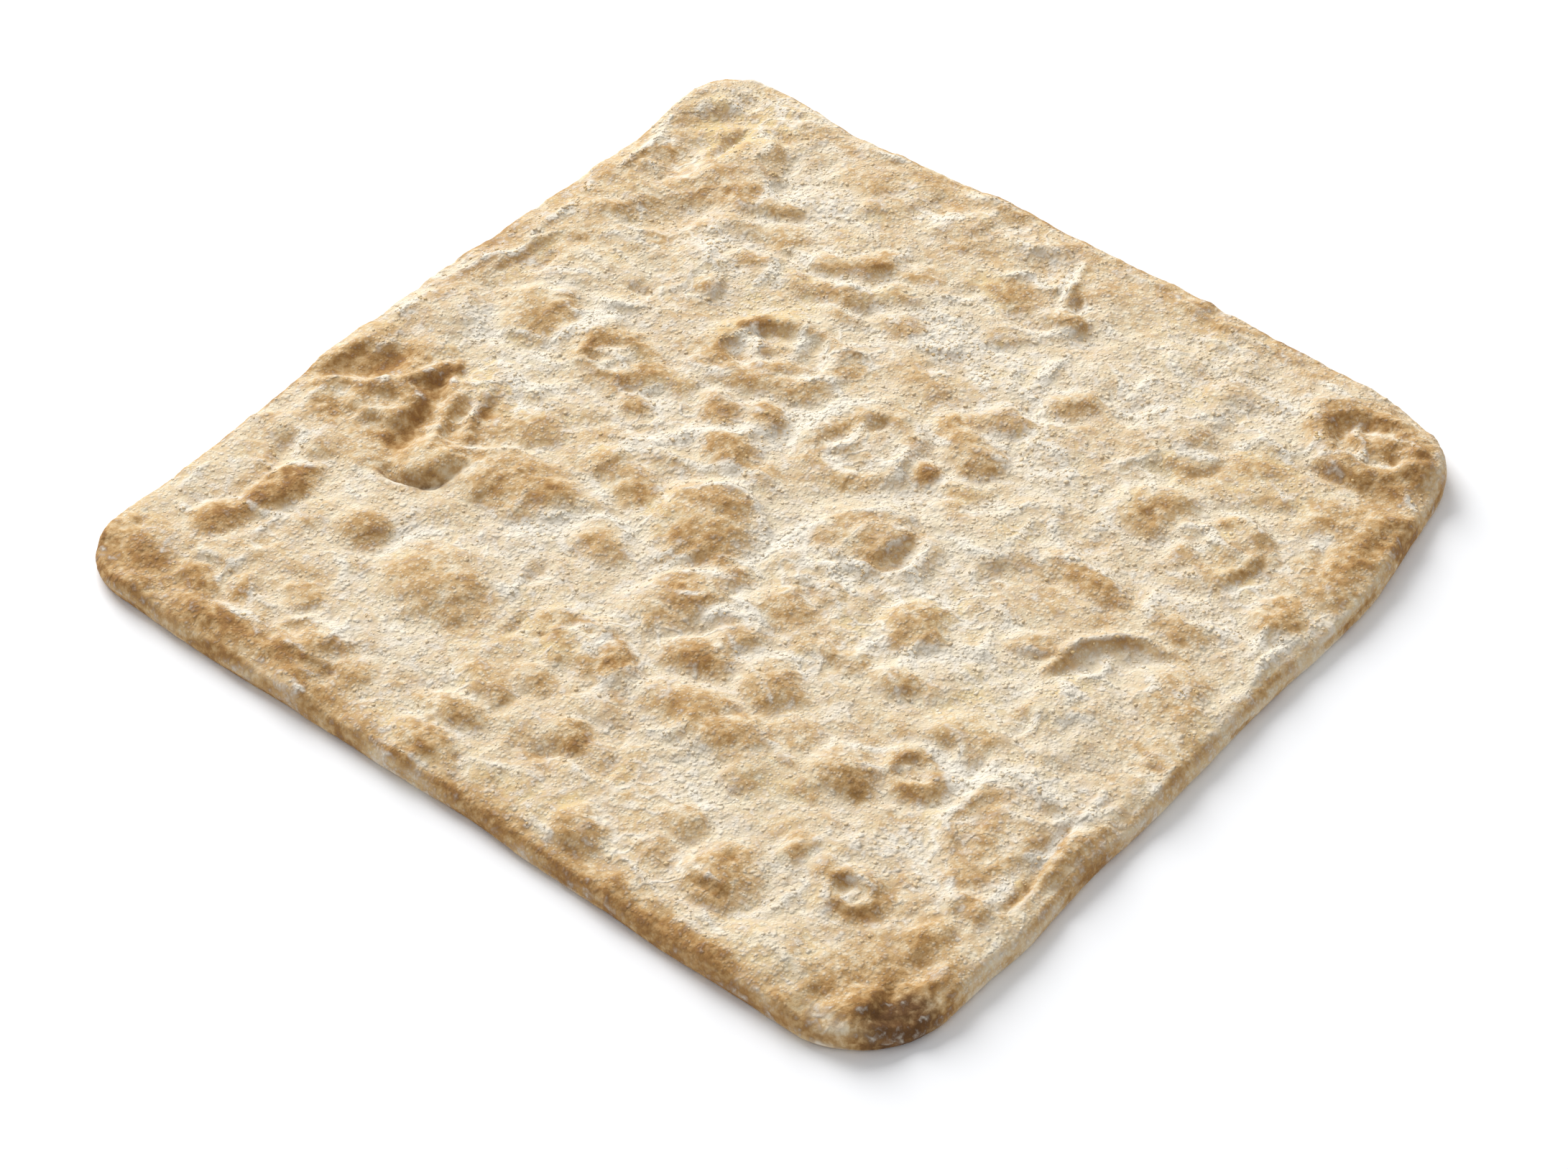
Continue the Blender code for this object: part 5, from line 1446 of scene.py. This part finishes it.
    def finish(self) -> None:
        """Bring colour and relief together in a dry, dull surface."""
        bump = add_node(self.tree, "ShaderNodeBump", None, {
            "Height": self.relief, "Strength": 1.0, "Distance": self.crust.bump_mm * MM})
        shader = add_node(self.tree, "ShaderNodeBsdfPrincipled", None, {
            "Base Color": self.colour, "Roughness": self.crust.roughness, "Normal": bump,
            "Specular IOR Level": self.crust.specular})
        add_node(self.tree, "ShaderNodeOutputMaterial", None, {"Surface": shader})


@dataclass
class PizzaBase:
    """The bread: a fine skin over the solid's form, with its side and underside."""

    # Cells of the top skin, about a millimetre each; the underside has one for each under_cells.
    cells_x: int = 292
    cells_y: int = 280
    under_cells: int = 4
    # Section of the side, top to bottom: inset from the outline, and share of the rim's height.
    side: tuple[tuple[float, float], ...] = (
        (3.4, 1.0), (2.4, 0.97), (1.6, 0.9), (1.0, 0.79), (0.5, 0.66), (0.2, 0.52),
        (0.08, 0.38), (0.2, 0.25), (0.6, 0.13), (1.3, 0.045), (2.4, 0.0))
    # Grooves along the side, as the dough's skin stretched in the oven: height, how much longer they
    # are, and depth; then the lumps on them.
    groove_mm: float = 2.6
    groove_stretch: float = 6.0
    groove_depth: float = 0.6
    lump_mm: float = 2.5
    lump_depth: float = 0.2
    # Tints of the side: what it has over the rim's toast and what the grooves lack, then what is left
    # of the rim's flour, and what lies in streaks and in the grooves.
    side_toast: float = 0.2
    groove_toast: float = 0.6
    side_flour: float = 0.4
    streak_flour: float = 0.2
    groove_flour: float = 0.3
    # The underside's inset from the outline, and the places that lifted off the tray: their size,
    # the noise from which they start, their height, and how fast they end before the rim.
    under_inset: float = 6.0
    lift_mm: float = 16.0
    lift_start: float = 0.25
    lift_height: float = 0.8
    lift_fade: float = 8.0
    under_clouds: tuple[tuple[float, float], ...] = ((24.0, 0.6), (8.0, 0.4))
    # Height over which the skin is pressed down to the solid's top.
    knee: float = 9.3
    # Share of the texture map's width that the skin and the side take, and the margin round both.
    map_share: float = 0.7
    map_margin: float = 0.01
    relief: Relief = Relief()
    browning: Browning = Browning()

    def build(self) -> bpy.types.Object:
        """Model the bread and centre it on its box.

        Returns:
            The bread, in metres, linked to the scene.
        """
        self._lay_skin()
        self._hang_side()
        self._lay_underside()
        places = np.vstack([self.skin_places, self.side_places, self.under_places])
        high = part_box(NODE)[1]
        middle = (places.min(axis=0) + places.max(axis=0)) / 2
        places = places - middle * (1, 1, 0)
        self.centre = middle + (MIDDLE_X, MIDDLE_Y, 0.0)
        top = high.z / MM
        tallest = places[:, 2].max()
        squeeze = min((top - self.knee) / (tallest - self.knee), 1.0)
        over = np.clip(places[:, 2] - self.knee, 0, None)
        places[:, 2] -= over * (1 - squeeze)
        self.skin_top = places[:len(self.skin_places)]
        mesh = bpy.data.meshes.new("bread")
        mesh.from_pydata((places * MM).tolist(), [], self._faces())
        mesh.shade_smooth()
        self._store_tints(mesh)
        self._unwrap(mesh, places)
        self.bread = bpy.data.objects.new("bread", mesh)
        bpy.context.collection.objects.link(self.bread)
        LOG.info("bread: %d faces, tallest %.2f mm squeezed to %.2f", len(mesh.polygons), tallest, top)
        return self.bread

    def _lay_skin(self) -> None:
        """Raise the grid of the top skin and tint it."""
        v, u = np.meshgrid(np.linspace(-1, 1, self.cells_y + 1), np.linspace(-1, 1, self.cells_x + 1),
                           indexing="ij")
        x, y = place_on_bread(u, v, TOP_INSET)
        from_x, from_y = self.relief.wandered(x, y)
        height = self.relief.skin(from_x, from_y)
        cell = 2 * HALF_X / self.cells_x
        tints = self.browning.tints(from_x, from_y, height, self.relief.named(from_x, from_y),
                                    self.relief.drawn_wrinkles(), cell)
        height = self.relief.rolled(height, x, y)
        self.skin_places = np.column_stack([x.ravel(), y.ravel(), height.ravel()])
        self.skin_tints = {tint: values.ravel() for tint, values in tints.items()}

    @staticmethod
    def _border(rows: int, columns: int) -> np.ndarray:
        """Numbers of a grid's border points, anticlockwise from the near left corner."""
        numbers = np.arange(rows * columns).reshape(rows, columns)
        return np.concatenate([numbers[0, :-1], numbers[:-1, -1], numbers[-1, :0:-1], numbers[:0:-1, 0]])

    def _under_grid(self) -> tuple[int, int]:
        """Rows and columns of the underside's points."""
        return self.cells_y // self.under_cells + 1, self.cells_x // self.under_cells + 1

    def _hang_side(self) -> None:
        """Hang the rings of the side from the border of the top skin."""
        self.rim = self._border(self.cells_y + 1, self.cells_x + 1)
        top = self.skin_places[self.rim]
        angle = np.arctan2(top[:, 1], top[:, 0])
        along = np.cumsum(np.hypot(*np.diff(top[:, :2], axis=0, prepend=top[:1, :2]).T))
        rings, tints = [], {tint: [] for tint in Tint}
        for inset, share in self.side[1:]:
            depth = np.full(along.shape, share * FIELD_HEIGHT)
            groove = GRAINS[18].at(along, depth, self.groove_mm, 0.0, self.groove_stretch)
            lump = GRAINS[19].at(along, depth * 2, self.lump_mm)
            proud = (self.groove_depth * groove + self.lump_depth * lump) * math.sin(math.pi * share)
            radius = outline_radius(angle) - inset + proud
            rings.append(np.column_stack([radius * np.cos(angle), radius * np.sin(angle),
                                          share * top[:, 2]]))
            for tint in Tint:
                tints[tint].append(self._side_tint(tint, groove, along, depth))
        self.side_places = np.vstack(rings)
        self.side_tints = {tint: np.concatenate(values) for tint, values in tints.items()}

    def _side_tint(self, tint: Tint, groove: np.ndarray, along: np.ndarray,
                   depth: np.ndarray) -> np.ndarray:
        """Tint one ring of the side: carried down from the rim, and browner in its grooves.

        Args:
            tint: which tint.
            groove: the grooves' noise round the ring, below zero in a groove.
            along: way along the rim.
            depth: height of the ring.

        Returns:
            The share of the tint at each of the ring's points.
        """
        carried = self.skin_tints[tint][self.rim]
        if tint is Tint.FLOUR:
            streak = self.streak_flour * GRAINS[19].at(along, depth, 5.0, 0.0, 3.0)
            return np.clip(self.side_flour * carried + streak + self.groove_flour * groove, -0.2, 1)
        if tint is Tint.TOAST:
            return np.clip(carried + self.side_toast - self.groove_toast * groove, 0, 1.4)
        return carried

    def _lay_underside(self) -> None:
        """Lay the flat underside, which the tray has browned in patches."""
        rows, columns = self._under_grid()
        v, u = np.meshgrid(np.linspace(-1, 1, rows), np.linspace(-1, 1, columns), indexing="ij")
        x, y = place_on_bread(u, v, self.under_inset)
        lift = self.lift_height * np.clip(GRAINS[11].at(x, y, self.lift_mm) - self.lift_start, 0, 1)
        lift = lift * ease((1 - np.maximum(np.abs(u), np.abs(v))) * self.lift_fade)
        self.under_places = np.column_stack([x.ravel(), y.ravel(), lift.ravel()])
        patchy = layered(12, self.under_clouds, x, y)
        tints = {Tint.TOAST: 0.45 + 0.5 * patchy - 0.5 * lift, Tint.CHAR: 0.15 * np.clip(patchy, 0, 1),
                 Tint.HONEY: np.full(x.shape, 0.1), Tint.HOLLOW_SHADE: np.zeros(x.shape),
                 Tint.FLOUR: 0.4 - 0.4 * patchy + 0.4 * lift}
        self.under_tints = {tint: np.clip(values, 0, 1).ravel() for tint, values in tints.items()}

    def _faces(self) -> list[list[int]]:
        """Join the points up.

        Returns:
            Corners of every face: top skin, side, then underside.
        """
        rows, columns = self.cells_y + 1, self.cells_x + 1
        grid = np.arange(rows * columns).reshape(rows, columns)
        top = np.stack([grid[:-1, :-1], grid[:-1, 1:], grid[1:, 1:], grid[1:, :-1]], axis=-1)
        faces = top.reshape(-1, 4).tolist()
        first, count = rows * columns, len(self.rim)
        rings = [self.rim] + [first + ring * count + np.arange(count)
                              for ring in range(len(self.side) - 1)]
        for above, below in zip(rings, rings[1:]):
            quads = np.column_stack([above, below, np.roll(below, -1), np.roll(above, -1)])
            faces += quads.tolist()
        start = first + count * (len(self.side) - 1)
        rows, columns = self._under_grid()
        inner = start + self._border(rows, columns)
        last, step = rings[-1], self.under_cells
        for i, (a, b) in enumerate(zip(inner, np.roll(inner, -1))):
            span = [int(last[(step * i + j) % count]) for j in range(step, -1, -1)]
            faces.append([int(a), int(b)] + span)
        grid = start + np.arange(rows * columns).reshape(rows, columns)
        under = np.stack([grid[:-1, :-1], grid[1:, :-1], grid[1:, 1:], grid[:-1, 1:]], axis=-1)
        return faces + under.reshape(-1, 4).tolist()

    def _store_tints(self, mesh: bpy.types.Mesh) -> None:
        """Keep each tint as an attribute of the mesh's points.

        Args:
            mesh: the bread's mesh.
        """
        for tint in Tint:
            values = np.concatenate([self.skin_tints[tint], self.side_tints[tint],
                                     self.under_tints[tint]])
            attribute = mesh.attributes.new(tint.value, "FLOAT", "POINT")
            attribute.data.foreach_set("value", values.astype(np.float32))

    def _unwrap(self, mesh: bpy.types.Mesh, places: np.ndarray) -> None:
        """Map the skin with the side opened out round it, and the underside beside them.

        Args:
            mesh: the bread's mesh.
            places: its points, in millimetres.
        """
        skins, sides = len(self.skin_places), len(self.side_places)
        rim = places[self.rim]
        outward = rim[:, :2] / np.hypot(rim[:, 0], rim[:, 1])[:, None]
        opened = places[:, :2].copy()
        run, above = np.zeros(len(rim)), rim
        for first in range(skins, skins + sides, len(rim)):
            ring = places[first:first + len(rim)]
            run = run + np.linalg.norm(ring - above, axis=1)
            opened[first:first + len(rim)] = rim[:, :2] + outward * run[:, None]
            above = ring
        reach = np.abs(opened).max()
        opened = self.map_share * (0.5 + 0.5 * opened / reach)
        rest = 1 - 2 * self.map_margin - self.map_share
        corner = (self.map_share + self.map_margin, self.map_margin)
        under = rest * (0.5 + 0.5 * places[:, :2] / reach) + corner
        corners = np.empty(len(mesh.loops), dtype=int)
        mesh.loops.foreach_get("vertex_index", corners)
        upper = 4 * (self.cells_x * self.cells_y + sides)
        flat = np.where(np.arange(len(corners))[:, None] < upper, opened[corners], under[corners])
        mesh.uv_layers.new(name=BAKE_MAP).data.foreach_set("uv", flat.ravel().astype(np.float32))

    def dress(self, finish: FlouredCrust) -> None:
        """Give the bread its crust, and tell the frame what it stands for.

        Args:
            finish: the crust.
        """
        self.bread.data.materials.append(finish.material())
        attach(self.bread, BODY)
        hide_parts(NODE)


@dataclass(frozen=True)
class CakedFlour:
    """Flour that steam has caked: dull and off-white, and tanned where the skin below it is."""

    pale: str = "#EBE2D0"
    tanned: str = "#D4B88A"
    roughness: float = 1.0
    specular: float = 0.1

    def material(self) -> bpy.types.Material:
        """Make the material of the crumbs.

        Returns:
            A material that reads the toast below each crumb from the mesh.
        """
        material = bpy.data.materials.new("caked_flour")
        material.use_nodes = True
        tree = material.node_tree
        tree.nodes.clear()
        toast = add_node(tree, "ShaderNodeAttribute", {"attribute_name": Tint.TOAST.value}, output="Fac")
        tans = {0: toast, 6: linear(self.pale), 7: linear(self.tanned)}
        colour = add_node(tree, *COLOUR_MIX, tans, 2)
        shader = add_node(tree, "ShaderNodeBsdfPrincipled", None, {
            "Base Color": colour, "Roughness": self.roughness, "Specular IOR Level": self.specular})
        add_node(tree, "ShaderNodeOutputMaterial", None, {"Surface": shader})
        return material


@dataclass
class FlourCrumbs:
    """Flattened crumbs of flour, strewn where the flour lies thickest, as one mesh."""

    count: int = 9000
    # Radii of the least and of the widest, and how much rarer wide ones are.
    least: float = 0.22
    widest: float = 0.75
    rarity: float = 1.5
    # Height over width of a crumb, and how deep it sits in the skin as a share of its height.
    flatness: float = 0.3
    sunk: float = 0.5
    # What a crumb's width and each of its corners vary by.
    stretches: tuple[float, float] = (0.75, 1.35)
    lumps: tuple[float, float] = (0.75, 1.2)
    # Flour was thrown on from the far side: the share that reaches the near edge.
    near_share: float = 0.35
    # The chance of a crumb: what bare skin has, and how toast and char keep crumbs off.
    bare_flour: float = 0.15
    toast_sheds: float = 0.6
    char_sheds: float = 4.0
    # How fast crumbs take the tan of the skin, and the share of its map cell that a crumb fills.
    tanning: float = 1.2
    map_fill: float = 0.3

    def build(self, base: PizzaBase) -> bpy.types.Object:
        """Strew the crumbs.

        Args:
            base: the bread that they lie on, already built.

        Returns:
            The crumbs, in metres, linked to the scene.
        """
        draw = np.random.default_rng(SEED + 70)
        places, radii, toast = self._strewn(base, draw)
        ball = bmesh.new()
        bmesh.ops.create_icosphere(ball, subdivisions=1, radius=1.0)
        corners = np.array([vert.co for vert in ball.verts])
        sides = np.array([[vert.index for vert in face.verts] for face in ball.faces])
        ball.free()
        turn = draw.uniform(0, 2 * np.pi, self.count)
        stretch = draw.uniform(*self.stretches, (self.count, 1))
        lumpy = corners[None] * draw.uniform(*self.lumps, (self.count, len(corners), 1))
        across, along = lumpy[..., 0] * stretch, lumpy[..., 1] / stretch
        c, s = np.cos(turn)[:, None], np.sin(turn)[:, None]
        shape = np.stack([across * c - along * s, across * s + along * c,
                          lumpy[..., 2] * self.flatness], axis=-1)
        points = places[:, None] + shape * radii[:, None, None]
        faces = sides[None] + len(corners) * np.arange(self.count)[:, None, None]
        mesh = bpy.data.meshes.new("flour_crumbs")
        mesh.from_pydata((points.reshape(-1, 3) * MM).tolist(), [], faces.reshape(-1, 3).tolist())
        mesh.shade_smooth()
        attribute = mesh.attributes.new(Tint.TOAST.value, "FLOAT", "POINT")
        attribute.data.foreach_set("value", np.repeat(toast, len(corners)).astype(np.float32))
        columns = math.ceil(math.sqrt(self.count))
        cell = np.column_stack(np.divmod(np.arange(self.count), columns))[:, None]
        flat = (cell + 0.5 + self.map_fill * shape[..., :2]) / columns
        flat = flat.reshape(-1, 2)[faces.ravel()]
        mesh.uv_layers.new(name=BAKE_MAP).data.foreach_set("uv", flat.ravel().astype(np.float32))
        self.crumbs = bpy.data.objects.new("flour_crumbs", mesh)
        bpy.context.collection.objects.link(self.crumbs)
        LOG.info("flour crumbs: %d, in %d faces", self.count, len(mesh.polygons))
        return self.crumbs

    def _strewn(self, base: PizzaBase, draw: np.random.Generator) -> tuple[np.ndarray, ...]:
        """Where the crumbs lie, how large they are and how brown the skin is there.

        Args:
            base: the bread.
            draw: what the draws come from.

        Returns:
            A place for each crumb, its radius, and the skin's toast.
        """
        skin = base.skin_top
        flour, toast, char = (base.skin_tints[tint] for tint in (Tint.FLOUR, Tint.TOAST, Tint.CHAR))
        reach = self.near_share + (1 - self.near_share) * ease((skin[:, 1] / HALF_Y + 1) / 2)
        kept = np.clip(1 - self.toast_sheds * toast - self.char_sheds * char, 0, 1)
        chance = np.clip(flour + self.bare_flour, 0, None) * kept * reach
        chance *= skin[:, 2] < skin[:, 2].max() - self.widest
        picked = draw.choice(len(skin), self.count, p=chance / chance.sum())
        cell = 2 * HALF_X / base.cells_x
        places = skin[picked] + np.column_stack([draw.uniform(-cell / 2, cell / 2, (self.count, 2)),
                                                 np.zeros(self.count)])
        radii = self.least + (self.widest - self.least) * draw.random(self.count) ** self.rarity
        places[:, 2] += radii * self.flatness * (1 - 2 * self.sunk)
        return places, radii, np.clip(self.tanning * toast[picked], 0, 1)

    def dress(self, finish: CakedFlour) -> None:
        """Colour the crumbs, and tell the frame what they ride on."""
        self.crumbs.data.materials.append(finish.material())
        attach(self.crumbs, BODY)


@dataclass(frozen=True)
class Tabletop:
    """White lacquered board under the bread, wide enough to fill the view."""

    half_width_m: float = 3.0
    colour: str = "#FAFBFD"
    roughness: float = 0.9

    def build(self) -> bpy.types.Object:
        """Make the board.

        Returns:
            The board.
        """
        w = self.half_width_m
        mesh = bpy.data.meshes.new("tabletop")
        mesh.from_pydata([(-w, -w, 0), (w, -w, 0), (w, w, 0), (-w, w, 0)], [], [(0, 1, 2, 3)])
        board = bpy.data.objects.new("tabletop", mesh)
        bpy.context.collection.objects.link(board)
        material = bpy.data.materials.new("white_lacquer")
        material.use_nodes = True
        shader = material.node_tree.nodes["Principled BSDF"]
        shader.inputs["Base Color"].default_value = linear(self.colour)
        shader.inputs["Roughness"].default_value = self.roughness
        mesh.materials.append(material)
        return board


@dataclass(frozen=True)
class Softbox:
    """A square lamp that looks at the bread.

    azimuth is the direction it stands in, in degrees from +X towards +Y.
    """

    name: str
    azimuth: float
    elevation: float
    distance_m: float
    width_m: float
    watts: float
    colour: str

    def build(self) -> bpy.types.Object:
        """Hang the lamp.

        Returns:
            The lamp.
        """
        lamp = bpy.data.lights.new(self.name, "AREA")
        lamp.shape = "SQUARE"
        lamp.size = self.width_m
        lamp.energy = self.watts
        lamp.color = linear(self.colour)[:3]
        a, e = math.radians(self.azimuth), math.radians(self.elevation)
        towards = Vector((math.cos(a) * math.cos(e), math.sin(a) * math.cos(e), math.sin(e)))
        item = bpy.data.objects.new(self.name, lamp)
        item.location = towards * self.distance_m
        item.rotation_euler = towards.to_track_quat("Z", "Y").to_euler()
        bpy.context.collection.objects.link(item)
        return item


@dataclass(frozen=True)
class Studio:
    """Board, lamp, white surroundings and the camera at the photograph's viewing angle.

    The camera's azimuth is in degrees from -Y towards +X, and aim is from the middle of the dough.
    """

    tabletop: Tabletop = Tabletop()
    key: Softbox = Softbox("key", 157.0, 34.0, 4.2, 2.85, 211.0, "#FFFFFF")
    white: str = "#FFFFFF"
    surroundings: float = 0.55
    lens_mm: float = 85.0
    aim: tuple[float, float, float] = (18.36, -24.58, 5.0)
    distance: float = 995.5
    azimuth: float = 42.06
    elevation: float = 44.6
    roll: float = 2.56

    def build(self, centre: np.ndarray) -> None:
        """Set up the board, the lamp, the surroundings and the camera.

        Args:
            centre: middle of the bread's box, from the middle of the dough.
        """
        self.tabletop.build()
        self.key.build()
        world = bpy.data.worlds.new("studio")
        world.use_nodes = True
        background = world.node_tree.nodes["Background"]
        background.inputs["Color"].default_value = linear(self.white)
        background.inputs["Strength"].default_value = self.surroundings
        bpy.context.scene.world = world
        bpy.context.scene.view_settings.view_transform = "Standard"
        self._place_camera(centre)

    def _place_camera(self, centre: np.ndarray) -> None:
        """Stand the camera where the photograph was taken from.

        Args:
            centre: middle of the bread's box, from the middle of the dough.
        """
        camera = bpy.data.cameras.new("camera")
        camera.lens = self.lens_mm
        item = bpy.data.objects.new("camera", camera)
        a, e = math.radians(self.azimuth), math.radians(self.elevation)
        back = Vector((math.sin(a) * math.cos(e), -math.cos(a) * math.cos(e), math.sin(e)))
        aim = Vector((self.aim[0] - centre[0], self.aim[1] - centre[1], self.aim[2]))
        item.location = (aim + back * self.distance) * MM
        item.rotation_mode = "QUATERNION"
        item.rotation_quaternion = back.to_track_quat("Z", "Y") @ Quaternion(
            (0, 0, 1), math.radians(-self.roll))
        bpy.context.collection.objects.link(item)
        bpy.context.scene.camera = item


def main() -> None:
    """Load the frame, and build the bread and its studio."""
    logging.basicConfig(level=logging.INFO, format="%(message)s")
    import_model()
    base = PizzaBase()
    base.build()
    base.dress(FlouredCrust())
    crumbs = FlourCrumbs()
    crumbs.build(base)
    crumbs.dress(CakedFlour())
    Studio().build(base.centre)
    LOG.info("studio: board, lamp and camera")


if __name__ == "__main__":
    main()
